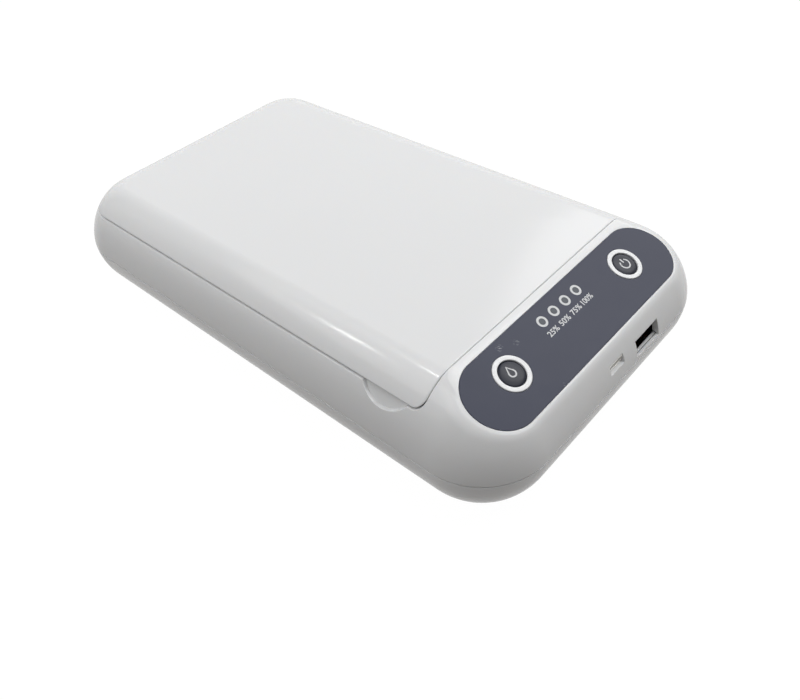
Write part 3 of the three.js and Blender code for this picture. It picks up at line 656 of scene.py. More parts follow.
def above_panel(depth, overlap=1 * MM):
    """Everything above the slanted face, lowered by a depth."""
    piece = block("above_panel", (depth * panel_slope - depth - overlap, -far_out, -depth),
                  (far_out, far_out, top_height))
    return shift(piece, panel)


def lid_space(grow, front_grow, steps=24):
    """The space that the lid takes, with the round lower corner of its front end."""
    corner = lid_foot + front_grow
    low = parting_height - grow
    edge = lid_front + front_grow
    outline = [(-far_out, far_out), (-far_out, low)]
    for step in range(steps + 1):
        turn = quarter * step / steps
        outline.append((edge - corner + corner * math.sin(turn),
                        low + corner - corner * math.cos(turn)))
    outline.append((edge, far_out))
    return loft("lid_space", [[(x, y, z) for x, z in outline] for y in (far_out, -far_out)])


# %% Deck, face and room
deck_depth = 5 * MM
deck_front = lid_front + half_gap + wall
rebate_inset, rebate_low, rebate_high = 1.1 * MM, 20 * MM, 27.4 * MM
cut(upper_case, lid_space(half_gap, shown_gap), above_panel(0))
room = make_loaf("upper_room", upper_form, Offset=wall, Low=0.0)
deck = block("deck", (-far_out, -far_out, deck_top - deck_depth), (deck_front, far_out, far_out))
cut(room, above_panel(wall), lid_space(half_gap + wall, half_gap + wall), deck)
cut(upper_case, room, inset("rebate", rebate_inset, rebate_low, rebate_high))
print("deck at", round(deck_top / MM, 2), "mm,", len(upper_case.data.polygons), "faces so far")

# %% [markdown]
# Under the lid, the deck has a round-cornered mouth for the chamber, a step for the flange of the
# tub and a groove for the light seal. They all follow the mouth's outline, so one helper draws
# them, each grown by its own distance.

# %% Mouth of the chamber and groove of the seal
chamber_x = (-12 * MM, 0)
chamber = (82 * MM, 46 * MM, 12 * MM)
mouth_grow = 2 * MM
flange_grow, flange_depth = 3.4 * MM, 1.8 * MM
groove_inner, groove_outer, groove_depth = 3.85 * MM, 5.75 * MM, 0.8 * MM


def grown(distance, low, high, name="grown"):
    """A prism round the chamber's mouth, grown by a distance."""
    half_x, half_y, corner = (size + distance for size in chamber)
    return prism(name, half_x, half_y, corner, low, high, chamber_x)


groove = grown(groove_outer, deck_top - groove_depth, far_out)
cut(groove, grown(groove_inner, -far_out, 2 * far_out))
cut(upper_case, grown(mouth_grow, -far_out, far_out),
    grown(flange_grow, deck_top - flange_depth, far_out), groove)
print("chamber in mm:", [round(2 * half / MM, 1) for half in chamber[:2]])

# %% [markdown]
# A thumb opens the lid at a shallow notch in each long side. It is the end of a large round bar,
# so its rim is an arc, and its back wall leans outwards towards the bottom. The bar's radius
# follows from the notch's width and depth.

# %% Thumb notches
notch_x = 64.5 * MM
notch_half, notch_depth = 8.9 * MM, 4.2 * MM
notch_back, notch_back_low = 54.8 * MM, 59.4 * MM
bar_end, block_end = 80 * MM, 90 * MM
notch_over = 1 * MM
notch_radius = (notch_half ** 2 + notch_depth ** 2) / (2 * notch_depth)
notch_z = parting_height - notch_depth + notch_radius


def bar(name, radius, start, end, x, z, steps=96):
    """A round bar along Y."""
    piece = turned(name, [(radius, start), (radius, end)], steps)
    return shift(piece, Matrix.Translation((x, 0, z)) @ Matrix.Rotation(-quarter, 4, "X"))


for sign in (-1, 1):
    reach = sorted((sign * notch_back, sign * bar_end))
    scoop = bar("notch", notch_radius, *reach, notch_x, notch_z)
    low, high = parting_height - notch_depth - notch_over, parting_height + notch_over
    corners = ((notch_back_low, low), (block_end, low), (block_end, high), (notch_back, high))
    profile = [(sign * y, z) for y, z in corners]
    sides = (notch_x - notch_half - small, notch_x + notch_half + small)
    leaning = loft("leaning", [[(x, y, z) for y, z in profile[::sign]] for x in sides])
    combine(scoop, leaning, "INTERSECT")
    cut(upper_case, scoop)
print("thumb notch: arc radius in mm", round(notch_radius / MM, 2))

# %% [markdown]
# At the other end the lid turns on two steel pins. They sit in the ears of the upper shell, on
# either side of a trough that gives the lid's knuckle room to turn. The hinge's place comes from
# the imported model's joint, and the bore's size from its pin.

# %% Hinge trough and bores for the pins
hinge = next(j for j in frame["joints"] if j["name"] == "lid_hinge")
hinge_x, hinge_z = hinge["pos_m"][0], hinge["pos_m"][2]
knuckle_radius, knuckle_half = 2.6 * MM, 18 * MM
trough_play, trough_half = 0.5 * MM, 18.4 * MM
pin_play = 0.2 * MM
pin_low, pin_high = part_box("hinge_pin_far")
pin_bore = (pin_high.z - pin_low.z) / 2 + pin_play
pin_end = pin_high.y + small
cut(upper_case,
    bar("trough", knuckle_radius + trough_play, -trough_half, trough_half, hinge_x, hinge_z),
    bar("pin_bore", pin_bore, -pin_end, pin_end, hinge_x, hinge_z))
print("hinge in mm:", round(hinge_x / MM, 2), round(hinge_z / MM, 2), "bore", round(pin_bore / MM, 2))

# %% [markdown]
# The slanted face has a shallow recess for the strip and a bore under each button. The end wall
# has the mouths of two sockets. Their places and sizes are read from the sockets of the packed
# model, because a mouth has to stay in line with its socket.

# %% Recess of the strip and button bores
film_middle = 14.3 * MM
film_half = (11.9 * MM, 50.7 * MM)
button_u, button_v = 12.9 * MM, 31.3 * MM
film_play, recess_depth = 0.07 * MM, 0.6 * MM
bore_radius, bore_depth = 4.65 * MM, 3 * MM
above_face = 20 * MM
recess_u, recess_v = (half + film_play for half in film_half)
recess = prism("recess", recess_u, recess_v, recess_u, -recess_depth, above_face, (film_middle, 0), 48)
cut(upper_case, shift(recess, panel))
for sign in (-1, 1):
    bore = post("bore", bore_radius, -bore_depth, above_face, (button_u, sign * button_v))
    cut(upper_case, shift(bore, panel))
print("recess in mm:", [round(2 * half / MM, 2) for half in (recess_u, recess_v)])

# %% Mouths of the sockets
usb_mouth_half, usb_mouth_play = 2.9 * MM, 0.25 * MM
usb_overlap = 0.1 * MM
usb_low, usb_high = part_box("usb_a_shell")
micro_low, micro_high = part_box("micro_usb_shell")
usb_middle = (usb_low.z + usb_high.z) / 2
usb_room = block("usb_room", (usb_low.x, usb_low.y - small, usb_low.z - small),
                 (usb_high.x + usb_overlap, usb_high.y + small, usb_high.z + small))
usb_mouth = block("usb_mouth",
                  (usb_high.x, usb_low.y - usb_mouth_play, usb_middle - usb_mouth_half),
                  (far_out, usb_high.y + usb_mouth_play, usb_middle + usb_mouth_half))
micro_mouth = block("micro_mouth", (micro_low.x - small, micro_low.y - small, micro_low.z - small),
                    (far_out, micro_high.y + small, micro_high.z + small))
cut(upper_case, usb_room, usb_mouth, micro_mouth)
carry_normals(upper_case, upper_skin)
discard(upper_skin)

# %% [markdown]
# ## The lid
# The lid is the loaf again, from the parting line up, with a square front. Its rim and its front
# have small real rounds, because they catch the light all the way round the gap.

# %% The lid's shell
lid_low = lid_bottom - seam_height
lip_round = 0.5 * MM
room_below = 3 * MM
lid_form = {**hood_form, "Low": lid_low, "Edge": edge_round, "Edge Rows": 6,
            "Front": lid_front - shown_gap, "Front Foot": lid_foot - shown_gap,
            "Front Lip": lip_round}
lid_cover = make_loaf("lid_cover", lid_form)
lid_skin = make_loaf("lid_skin", lid_form)
lid_room = make_loaf("lid_room", upper_form, Offset=lid_wall, Low=lid_low - room_below,
                     Front=lid_front - half_gap - lid_wall)
cut(lid_cover, lid_room)
print("lid's shell:", len(lid_cover.data.polygons), "faces")

# %% [markdown]
# The lid's knuckle hangs below its rim on a narrow web. Both are kept inside the loaf, so they
# can't show outside, and the knuckle has a blind bore at either end for a pin.

# %% The hinge knuckle and its web
web_behind, web_ahead, web_over = 1.8 * MM, 0.7 * MM, 1 * MM
knuckle = bar("knuckle", knuckle_radius, -knuckle_half, knuckle_half, hinge_x, hinge_z)
web = block("web", (hinge_x - web_behind, -knuckle_half, hinge_z),
            (hinge_x + web_ahead, knuckle_half, lid_bottom + web_over))
combine(knuckle, web, "UNION")
combine(knuckle, make_loaf("knuckle_limit", upper_form), "INTERSECT")
for start, end in ((pin_low.y - small, pin_end), (-pin_end, small - pin_low.y)):
    cut(knuckle, bar("pin_bore", pin_bore, start, end, hinge_x, hinge_z))
combine(lid_cover, knuckle, "UNION")
carry_normals(lid_cover, lid_skin)
discard(lid_skin)

# %% [markdown]
# The lid has a second skin inside, a thin liner with a shallow recess for the lamps. Its flange is
# a slice of the same loaf, which makes it follow the lid's rim, and the recess is a hat on it.

# %% The lid's liner
liner_gap, liner_wall = lid_wall + small, 1.2 * MM
liner_below, recess_height = 2 * MM, 3.6 * MM
recess_x = (-10 * MM, 0)
recess_half = (80 * MM, 43 * MM, 10 * MM)
lid_liner = make_loaf("lid_liner_panel", upper_form, Offset=liner_gap, Low=lid_low - liner_below,
                      Front=lid_front - half_gap - liner_gap)
band = block("liner_band", (-far_out, -far_out, lid_bottom),
             (far_out, far_out, lid_bottom + liner_wall))
combine(lid_liner, band, "INTERSECT")
recess_top = lid_bottom + recess_height
hat = prism("hat", *[size + liner_wall for size in recess_half],
            lid_bottom, recess_top + liner_wall, recess_x)
combine(lid_liner, hat, "UNION")
cut(lid_liner, prism("lamp_recess", *recess_half, 0, recess_top, recess_x))
carry_normals(lid_liner)

# %% [markdown]
# ## The chamber
# A drafted tub hangs by its flange in the mouth of the deck. Its walls lean out a little, as they
# must to leave the mould, and a low ring on its floor holds the scent pad.

# %% The tub
floor_height = 12 * MM
draft = 1.5 * MM
tub_wall, tub_under_deck = 1.6 * MM, 0.7 * MM
tub_flange_grow, tub_flange = 3 * MM, 1.5 * MM


def drafted(name, distance, low, high):
    """The chamber's outline grown by a distance, and drawn in by the draft at its lower end."""
    half_x, half_y, corner = (size + distance for size in chamber)
    rings = [rounded_ring(half_x - lean, half_y - lean, corner - lean, z, chamber_x)
             for lean, z in ((draft, low), (0, high))]
    return loft(name, rings)


chamber_tub = drafted("chamber_tub", tub_wall, floor_height - tub_wall, deck_top - tub_under_deck)
combine(chamber_tub, grown(tub_flange_grow, deck_top - tub_flange, deck_top), "UNION")
cut(chamber_tub, drafted("tub_room", 0, floor_height, deck_top + draft))
print("tub's depth in mm:", round((deck_top - floor_height) / MM, 2))

# %% The ring that holds the scent pad
cup_place = (56 * MM, 30 * MM)
cup_outer, cup_inner = 8 * MM, 6.9 * MM
cup_root, cup_height = 0.8 * MM, 4 * MM
cup = post("cup", cup_outer, floor_height - cup_root, floor_height + cup_height, cup_place, 72)
cut(cup, post("cup_room", cup_inner, floor_height, far_out, cup_place, 72))
combine(chamber_tub, cup, "UNION")
carry_normals(chamber_tub)


# %% [markdown]
# ## Rings that close on themselves
# The light seal, and the bezel round each button, are one section carried round a path. Both are
# a list of level rings, one for each point of the section, joined into a hoop.

# %% Hoops
def hoop(name, rings):
    """A closed tube through level rings that follow a section round."""
    vertices = [point for ring in rings for point in ring]
    return heal(new_piece(name, vertices, ring_faces(rings, closed=True)))


def soft_section(low, high, inner, outer, corner, steps=4):
    """A rectangular section with rounded top corners, as (radius, height) points."""
    points = [(inner, low), (outer, low)]
    for start, middle in ((0, outer - corner), (quarter, inner + corner)):
        for step in range(steps + 1):
            turn = start + quarter * step / steps
            points.append((middle + corner * math.cos(turn), high - corner + corner * math.sin(turn)))
    return points


# %% The light seal
seal_sunk, seal_proud = 0.65 * MM, 0.35 * MM
seal_inner, seal_outer, seal_round = 4 * MM, 5.6 * MM, 0.45 * MM
seal_section = soft_section(deck_top - seal_sunk, deck_top + seal_proud, seal_inner, seal_outer,
                            seal_round)
seal_rings = [rounded_ring(*[size + distance for size in chamber], z, chamber_x)
              for distance, z in seal_section]
light_seal = hoop("light_seal", seal_rings)
carry_normals(light_seal)

# %% [markdown]
# ## The control strip
# The strip is a dark plastic film with full round ends, let into the slanted face. It stands
# a tenth of a millimetre proud, so its edge shows as a fine line. Two holes in it let the bezels
# of the buttons through.

# %% The film
film_low, film_high = -0.3 * MM, 0.1 * MM
film_bevel = 0.08 * MM
bezel_hole = 6.2 * MM
film_levels = ((0, film_low), (0, film_high - film_bevel), (film_bevel, film_high))
film_u, film_v = film_half
strip_film = loft("strip_film", [rounded_ring(film_u - d, film_v - d, film_u - d, z, (film_middle, 0), 48)
                                 for d, z in film_levels])
for sign in (-1, 1):
    cut(strip_film, post("bezel_hole", bezel_hole, -wall, wall, (button_u, sign * button_v), 96))
shift(strip_film, panel)
carry_normals(strip_film)

# %% [markdown]
# Each button is a dark cap in a white bezel. The cap is turned: a stem for the switch, a flange
# that keeps it in, and a face that swells a little. The face's height is a formula, because the
# printed picture on it has to follow the same curve.

# %% Bezels and caps
bezel_inner, bezel_outer = 4.5 * MM, 6.05 * MM
bezel_proud, bezel_round = 0.25 * MM, 0.2 * MM
bezel_section = soft_section(film_low, film_high + bezel_proud, bezel_inner, bezel_outer, bezel_round)
crown_top, crown_drop, cap_radius = 0.33 * MM, 0.55 * MM, 4.3 * MM
crown_power = 4
stem_radius, stem_end = 1.5 * MM, -4 * MM
flange_radius, flange_low, flange_top = 5.4 * MM, -3.2 * MM, -2.5 * MM


def crown(radius):
    """Height of the cap's low dome at a distance from its middle."""
    curve = math.sqrt(max(0, 1 - (radius / cap_radius) ** crown_power))
    return crown_top - crown_drop * (1 - curve)


# %% Both buttons
cap_profile = [(0, stem_end), (stem_radius, stem_end), (stem_radius, flange_low),
               (flange_radius, flange_low), (flange_radius, flange_top), (cap_radius, flange_top)]
cap_profile += [(cap_radius * math.sin(t), crown(cap_radius * math.sin(t)))
                for t in np.linspace(quarter, 0, 22)]
buttons = {}
for name, sign in (("scent", -1), ("start", 1)):
    place_button = panel @ Matrix.Translation((button_u, sign * button_v, 0))
    bezel = shift(hoop(f"{name}_bezel", [circle(r, z) for r, z in bezel_section]), place_button)
    cap = shift(turned(f"{name}_cap", cap_profile, 96), place_button)
    carry_normals(bezel)
    carry_normals(cap)
    buttons[name] = (bezel, cap, place_button)


# %% [markdown]
# ## Marks
# The marks on the strip and on the caps are printed: flat ribbons of ink, two hundredths of
# a millimetre thick. The pictures on the caps are plain ones, a drop for the scent pad and the
# usual broken ring with a bar for starting. The charge lights read as per cent.

# %% Ribbons of ink
ink_depth, ink_lift = 0.02 * MM, 0.01 * MM


def ribbon(name, lines, width, depth=ink_depth):
    """Flat strokes along lines of (x, y) points; a line that ends where it starts is closed."""
    vertices, faces = [], []
    for line in lines:
        points = np.array(line, float)
        closed = np.allclose(points[0], points[-1])
        if closed:
            points = points[:-1]
            ahead, behind = np.roll(points, -1, 0), np.roll(points, 1, 0)
        else:
            ahead = np.vstack([points[1:], 2 * points[-1] - points[-2]])
            behind = np.vstack([2 * points[0] - points[1], points[:-1]])
        along = ahead - behind
        along /= np.linalg.norm(along, axis=1)[:, None]
        across = np.stack([-along[:, 1], along[:, 0]], 1) * width / 2
        first = len(vertices)
        for z in (0, depth):
            for edge in (points - across, points + across):
                vertices += [(x, y, z) for x, y in edge]
        count = len(points)
        low_a, low_b, high_a, high_b = (first + count * number for number in range(4))
        for number in range(count if closed else count - 1):
            after = (number + 1) % count
            for p, q in ((high_a, high_b), (high_b, low_b), (low_b, low_a), (low_a, high_a)):
                faces.append((p + number, p + after, q + after, q + number))
        if not closed:
            for end in (0, count - 1):
                faces.append((low_a + end, high_a + end, high_b + end, low_b + end))
    return heal(new_piece(name, vertices, faces))


def arc_points(radius, start, end, steps=40):
    """Points along an arc from one turn to another."""
    return [(radius * math.cos(t), radius * math.sin(t)) for t in np.linspace(start, end, steps + 1)]


# %% A drop for the scent, a broken ring with a bar for the start
ink_width = 0.5 * MM
drop_radius, drop_tip = 1.15 * MM, 2.5 * MM
touch = math.acos(drop_radius / drop_tip)
drop_line = arc_points(drop_radius, touch, 4 * quarter - touch) + [(drop_tip, 0)]
drop_line.append(drop_line[0])
gap_turn, broken_ring = math.radians(38), 1.75 * MM
bar_start, bar_tip = 0.5 * MM, 2.3 * MM
start_lines = [arc_points(broken_ring, gap_turn, 4 * quarter - gap_turn), [(bar_start, 0), (bar_tip, 0)]]
pictures = {"scent": [drop_line], "start": start_lines}
cap_marks = {}
for name, lines in pictures.items():
    mark = shift(ribbon(f"{name}_mark", lines, ink_width), Matrix.Rotation(2 * quarter, 4, "Z"))
    for vertex in mark.data.vertices:
        vertex.co.z += crown(vertex.co.xy.length) + ink_lift
    cap_marks[name] = shift(mark, buttons[name][2])
print("marks:", {name: len(mark.data.polygons) for name, mark in cap_marks.items()})


# %% [markdown]
# ## What repeats
# Feet, screws, contacts, light marks and lamps each repeat one small template on a few spots. One
# tree does them all: it takes the piece's own points as the spots, puts the template there, makes
# the copies real and gives them their material.

# %% The tree that repeats a template
repeat_inputs = {"Template": "Object", "Material": "Material"}
repeat_tree, put = geometry_tree("Repeat on spots", repeat_inputs, takes_geometry=True)
template = add_node(repeat_tree, "GeometryNodeObjectInfo", {"transform_space": "ORIGINAL"},
                    {"Object": put["Template"]})
spots = add_node(repeat_tree, "GeometryNodeInstanceOnPoints", values={
    "Points": put["Geometry"], "Instance": out(repeat_tree, template, "Geometry")})
real = add_node(repeat_tree, "GeometryNodeRealizeInstances", values={0: out(repeat_tree, spots)})
coated = add_node(repeat_tree, "GeometryNodeSetMaterial", values={
    "Geometry": out(repeat_tree, real), "Material": put["Material"]})
finish_tree(repeat_tree, out(repeat_tree, coated))


def repeat(name, template, spots, material):
    """One piece that has a copy of the template on every spot."""
    piece = new_piece(name, spots)
    run_tree(piece, repeat_tree, {"Template": template, "Material": material})
    discard(template)
    return carry_normals(piece)


# %% [markdown]
# ## Finishes
# Each finish is one shader tree. The helpers below give the place on the piece in metres, noises of
# a chosen size, and mixes of colours, so that a finish can be read as a few lines of sums.

# %% Helpers for shader trees
class Finish:
    """A material whose Principled shader is fed by wires."""

    def __init__(self, name, colour, roughness, **sockets):
        self.material = bpy.data.materials.new(name)
        self.material.use_nodes = True
        self.tree = self.material.node_tree
        self.shader = self.tree.nodes["Principled BSDF"]
        self.set("Base Color", (*colour, 1.0))
        self.set("Roughness", roughness)
        for title, value in sockets.items():
            self.set(title.replace("_", " "), value)

    def set(self, name, value):
        feed(self.shader.inputs[name], value)

    def node(self, kind, settings=None, values=None, name=0):
        return out(self.tree, add_node(self.tree, kind, settings, values), name)

    def place(self, stretch=(1, 1, 1), turn=(0, 0, 0), start=(0, 0, 0)):
        """The place on the piece, moved to a start, turned and stretched."""
        coords = self.node("ShaderNodeTexCoord", name="Object")
        return self.node("ShaderNodeMapping", {"vector_type": "TEXTURE"}, {
            "Vector": coords, "Location": start, "Rotation": turn, "Scale": stretch})

    def noise(self, size, detail=2.0, place=None, **values):
        """Soft noise from 0 to 1 with features of about one size."""
        return self.node("ShaderNodeTexNoise", values={
            "Vector": place or self.place(), "Scale": 1 / size, "Detail": detail, **values}, name="Fac")

    def mix(self, share, low, high):
        node = add_node(self.tree, "ShaderNodeMix", {"data_type": "RGBA"}, {"Factor": share})
        for socket, colour in ((node.inputs[6], low), (node.inputs[7], high)):
            feed(socket, colour if isinstance(colour, Wire) else (*colour, 1.0))
        return out(self.tree, node, 2)

    def bump(self, height, distance, normal=None, strength=1.0):
        values = {"Height": height, "Distance": distance, "Strength": strength}
        if normal:
            values["Normal"] = normal
        return self.node("ShaderNodeBump", values=values)

    def worn_edge(self, radius):
        """The normal of an edge rounded by a small radius."""
        return self.node("ShaderNodeBevel", {"samples": 6}, {"Radius": radius})


# %% [markdown]
# The casing is white plastic with a high gloss. Light enters it a little way, which softens the
# shading, so it has some subsurface. Faint clouds, handling marks and the fine waves that moulds
# leave keep the gloss from looking like glass.

# %% The glossy white of the casing
def make_white():
    finish = Finish("white_gloss", (0.80, 0.805, 0.81), 0.16, Subsurface_Weight=0.15,
                    Subsurface_Radius=(1, 0.8, 0.6), Subsurface_Scale=1.5 * MM)
    cloudy = finish.noise(60 * MM)
    finish.set("Base Color", finish.mix(cloudy, (0.785, 0.79, 0.795), (0.805, 0.81, 0.815)))
    handled = finish.noise(9 * MM, 4.0)
    finish.set("Roughness", 0.11 + handled * 0.06)
    peel = finish.noise(2.2 * MM, 1.0)
    finish.set("Normal", finish.bump(peel, 0.0015 * MM, finish.worn_edge(0.25 * MM)))
    return finish.material


# %% [markdown]
# The strip is dark printed film with a few scuffs where thumbs and nails have touched it. Each scuff
# is a round spot given by its place on the strip and its size in millimetres. Inside the spots a
# long, turned noise decides where the print is rubbed.

# %% The dark strip, with its few scuffs
scuff_contrast = 7
scuff_spots = [((7.3, -21.9), 1.3), ((5, -27.4), 1.5), ((25.6, -22.3), 0.7), ((1.9, -35), 1.0)]


def make_film():
    ink, rubbed = (0.02, 0.025, 0.053), (0.3, 0.31, 0.34)
    finish = Finish("strip_grey", ink, 0.3, Specular_IOR_Level=0.24)
    scratch = finish.noise(0.5 * MM, 3.0, finish.place((2.2, 0.8, 1), (0, 0, 0.9)))
    marks = 0
    for (along, across), size in scuff_spots:
        spot = panel @ Vector((along * MM, across * MM, film_high))
        gap = finish.node("ShaderNodeVectorMath", {"operation": "DISTANCE"},
                          {0: finish.place(), 1: spot}, "Value")
        marks = (1 - gap / (size * MM)).clamped() + marks
    marks = marks.clamped() * (scratch - 0.5).most(0) * scuff_contrast
    cloud = finish.noise(25 * MM, 1.0)
    plain = finish.mix(cloud, [0.9 * c for c in ink], [1.1 * c for c in ink])
    finish.set("Base Color", finish.mix(marks.clamped(), plain, rubbed))
    finish.set("Roughness", 0.26 + finish.noise(5 * MM, 4.0) * 0.08)
    grain = finish.noise(0.3 * MM, 1.0)
    finish.set("Normal", finish.bump(grain, 0.001 * MM, finish.worn_edge(0.15 * MM)))
    return finish.material


# %% [markdown]
# The other plastics, rubbers and metals differ in colour and roughness more than in kind. One
# function makes any plastic and one makes any metal, so that they stay alike.

# %% A moulded plastic of any colour
def make_plastic(name, colour, roughness, grain=0.4 * MM, depth=0.003 * MM, edge=0.12 * MM, **sockets):
    finish = Finish(name, colour, roughness, **sockets)
    darker = [0.86 * c for c in colour]
    finish.set("Base Color", finish.mix(finish.noise(6 * MM, 3.0), darker, colour))
    finish.set("Roughness", finish.noise(3 * MM, 3.0) * 0.1 + (roughness - 0.05))
    finish.set("Normal", finish.bump(finish.noise(grain, 2.0), depth, finish.worn_edge(edge)))
    return finish.material


# %% Drawn and plated metal
def make_metal(name, colour, roughness, stretch=(1, 12, 1)):
    finish = Finish(name, colour, roughness, Metallic=1.0)
    drawn = finish.noise(0.25 * MM, 3.0, finish.place(stretch))
    finish.set("Roughness", drawn * 0.16 + (roughness - 0.08))
    tarnish = finish.noise(4 * MM, 3.0)
    finish.set("Base Color", finish.mix(tarnish, [0.82 * c for c in colour], colour))
    finish.set("Normal", finish.bump(drawn, 0.002 * MM, finish.worn_edge(0.1 * MM)))
    return finish.material


# %% [markdown]
# Three finishes are made of something else: boards with copper tracks under green lacquer, the
# felt of the scent pad, and the clear glass and plastic of lamps and rails.

# %% Board, felt and glass
def make_board():
    finish = Finish("board_green", (0.02, 0.14, 0.06), 0.4)
    tracks = finish.node("ShaderNodeTexBrick", {"offset": 0.37, "squash": 1.0}, {
        "Vector": finish.place(), "Scale": 1 / (6 * MM), "Mortar Size": 0.06,
        "Brick Width": 0.9, "Row Height": 0.31}, "Fac")
    finish.set("Base Color", finish.mix(tracks, (0.018, 0.12, 0.05), (0.05, 0.26, 0.11)))
    finish.set("Normal", finish.bump(tracks, 0.03 * MM))
    return finish.material


def make_felt():
    finish = Finish("pad_felt", (0.82, 0.82, 0.78), 0.95, Sheen_Weight=0.4)
    fibres = finish.noise(0.25 * MM, 6.0, Distortion=2.0)
    finish.set("Base Color", finish.mix(fibres, (0.6, 0.6, 0.56), (0.88, 0.88, 0.85)))
    finish.set("Normal", finish.bump(fibres, 0.12 * MM))
    return finish.material


def make_glass(name, colour, roughness, index):
    finish = Finish(name, colour, roughness, Transmission_Weight=1.0, IOR=index)
    finish.set("Roughness", finish.noise(2 * MM, 3.0) * 0.04 + roughness)
    return finish.material


# %% All finishes by name
white = make_white()
finishes = {
    "casing": white,
    "liner": make_plastic("liner_white", (0.74, 0.75, 0.76), 0.42),
    "mirror": make_metal("mirror_silver", (0.88, 0.89, 0.9), 0.1, (1, 1, 1)),
    "seal": make_plastic("seal_rubber", (0.5, 0.51, 0.53), 0.6),
    "steel": make_metal("nickel_steel", (0.72, 0.71, 0.69), 0.3),
    # painted shade: this steel is darkened and browned to stand for the shadow inside the USB socket's
    # mouth
    "dull_steel": make_metal("dull_steel", (0.34, 0.27, 0.24), 0.4),
    "bright_nickel": make_metal("bright_nickel", (0.92, 0.91, 0.88), 0.5),
    "magnet": make_metal("magnet_nickel", (0.7, 0.69, 0.66), 0.22),
    "lamp": make_glass("quartz_glass", (0.95, 0.96, 1.0), 0.02, 1.46),
    "holder": make_plastic("holder_ceramic", (0.78, 0.77, 0.74), 0.5),
    "film": make_film(),
    "cap": make_plastic("cap_grey", (0.009, 0.012, 0.026), 0.22, Specular_IOR_Level=0.25),
    "ring": make_plastic("bezel_white", (0.9, 0.91, 0.92), 0.22),
    "socket_black": make_plastic("socket_black", (0.02, 0.019, 0.018), 0.45),
    # painted shade: the tongue's dark brown stands for the shadow inside the USB socket's mouth
    "tongue_brown": make_plastic("tongue_brown", (0.07, 0.04, 0.035), 0.4),
    "light": make_plastic("light_clear", (0.7, 0.75, 0.72), 0.25),
    "board": make_board(),
    "felt": make_felt(),
    "rail": make_glass("rail_clear", (0.93, 0.96, 0.97), 0.05, 1.49),
    "foot": make_plastic("foot_rubber", (0.6, 0.61, 0.62), 0.75),
    "ink": make_plastic("ink_white", (0.72, 0.73, 0.74), 0.5, edge=0.01 * MM),
    "window": make_plastic("window_smoke", (0.036, 0.045, 0.06), 0.3, edge=0.01 * MM,
                           Specular_IOR_Level=0.35),
    "gold": make_metal("contact_gold", (0.85, 0.62, 0.28), 0.3),
}
print("finishes:", len(finishes))


# %% [markdown]
# ## Fitting the pieces to the frame
# Each piece says which body it moves with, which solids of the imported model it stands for, and which
# finish it has. The solids that stay only get their finish.

# %% One call for each piece
def fit(piece, body, slot, *nodes, finish=None):
    """Says what a piece moves with, which solids it stands for and what it is finished in."""
    piece.data.materials.clear()
    piece.data.materials.append(finishes[finish or slot])
    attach(piece, body)
    if nodes:
        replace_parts(piece, *nodes)
    print(piece.name, "moves with", body, "and stands for", len(nodes), "solids")
    return piece


fit(lower_case, "base", "casing", "lower_shell")
fit(upper_case, "base", "casing", "upper_shell")
fit(lid_cover, "lid", "casing", "lid_shell")
fit(lid_liner, "lid", "liner", "lid_liner")
fit(chamber_tub, "base", "mirror", "chamber_tray")
fit(light_seal, "base", "seal", "chamber_seal")
fit(strip_film, "base", "film", "control_film")
for name, (bezel, cap, place_button) in buttons.items():
    fit(bezel, "base", "ring", f"{name}_button_ring")
    fit(cap, f"{name}_button", "cap", f"{name}_button_cap")
    fit(cap_marks[name], f"{name}_button", "film", finish="ink")

# %% [markdown]
# ## Small things that repeat
# The light marks, the screws and the feet are small, so one template each is enough.

# %% Light marks with their windows
light_u, light_pitch, light_shift = 8 * MM, 6.15 * MM, -0.35 * MM
light_v = [light_pitch * (step - 1.5) + light_shift for step in range(4)]
light_spots = [panel @ Vector((light_u, v, film_high)) for v in light_v]


def on_panel(piece):
    """Turns a flat template so that it lies on the slanted face."""
    return shift(piece, panel.to_3x3().to_4x4())


mark_radius, mark_width = 1.54 * MM, 0.76 * MM
mark_ring = on_panel(ribbon("mark_ring", [arc_points(mark_radius, 0, 4 * quarter, 64)], mark_width))
light_marks = repeat("light_marks", mark_ring, light_spots, finishes["ink"])
window_overlap, window_low, window_high = 0.02 * MM, -0.005 * MM, 0.01 * MM
window_radius = mark_radius - mark_width / 2 + window_overlap
window = on_panel(post("window", window_radius, window_low, window_high))
light_windows = repeat("light_windows", window, light_spots, finishes["window"])
fit(light_marks, "base", "film", finish="ink")
fit(light_windows, "base", "film", finish="window")

# %% [markdown]
# Under each light its charge is printed in per cent. Blender's own font draws the numbers, made a
# little bolder by an offset. Each is turned into a mesh, fitted to its height and width, and laid
# on the strip.

# %% The numbers
label_height, label_width, label_u = 1.95 * MM, 4.9 * MM, 12.4 * MM
extra_width, bolder, thickness = 0.45 * MM, 0.018, 0.01
for text, middle_v in zip(("25%", "50%", "75%", "100%"), light_v):
    width = label_width + extra_width * (len(text) - len("25%"))
    curve = bpy.data.curves.new("charge_label", "FONT")
    curve.body = text
    curve.extrude = thickness
    curve.offset = bolder
    writing = add_object("writing", curve)
    bpy.context.view_layer.update()
    mesh = bpy.data.meshes.new_from_object(writing)
    discard(writing)
    corners = np.array([vertex.co for vertex in mesh.vertices])
    low, high = corners.min(0), corners.max(0)
    middle_x, middle_y, _ = (low + high) / 2
    wide, tall, _ = high - low
    mesh.transform(Matrix.Diagonal((width / wide, label_height / tall, MM, 1))
                   @ Matrix.Translation((-middle_x, -middle_y, 0)))
    label = add_object(f"charge_label_{text[:-1]}", mesh)
    shift(label, panel @ Matrix.Translation((label_u, middle_v, film_high + ink_lift))
          @ Matrix.Rotation(quarter, 4, "Z"))
    heal(label)
    fit(label, "base", "film", finish="ink")

# %% [markdown]
# A screw and a foot are both turned on a lathe, so a profile is enough for each. The screw's head
# is a low dome with a cross cut into it, and the foot's lower edge is rounded off.

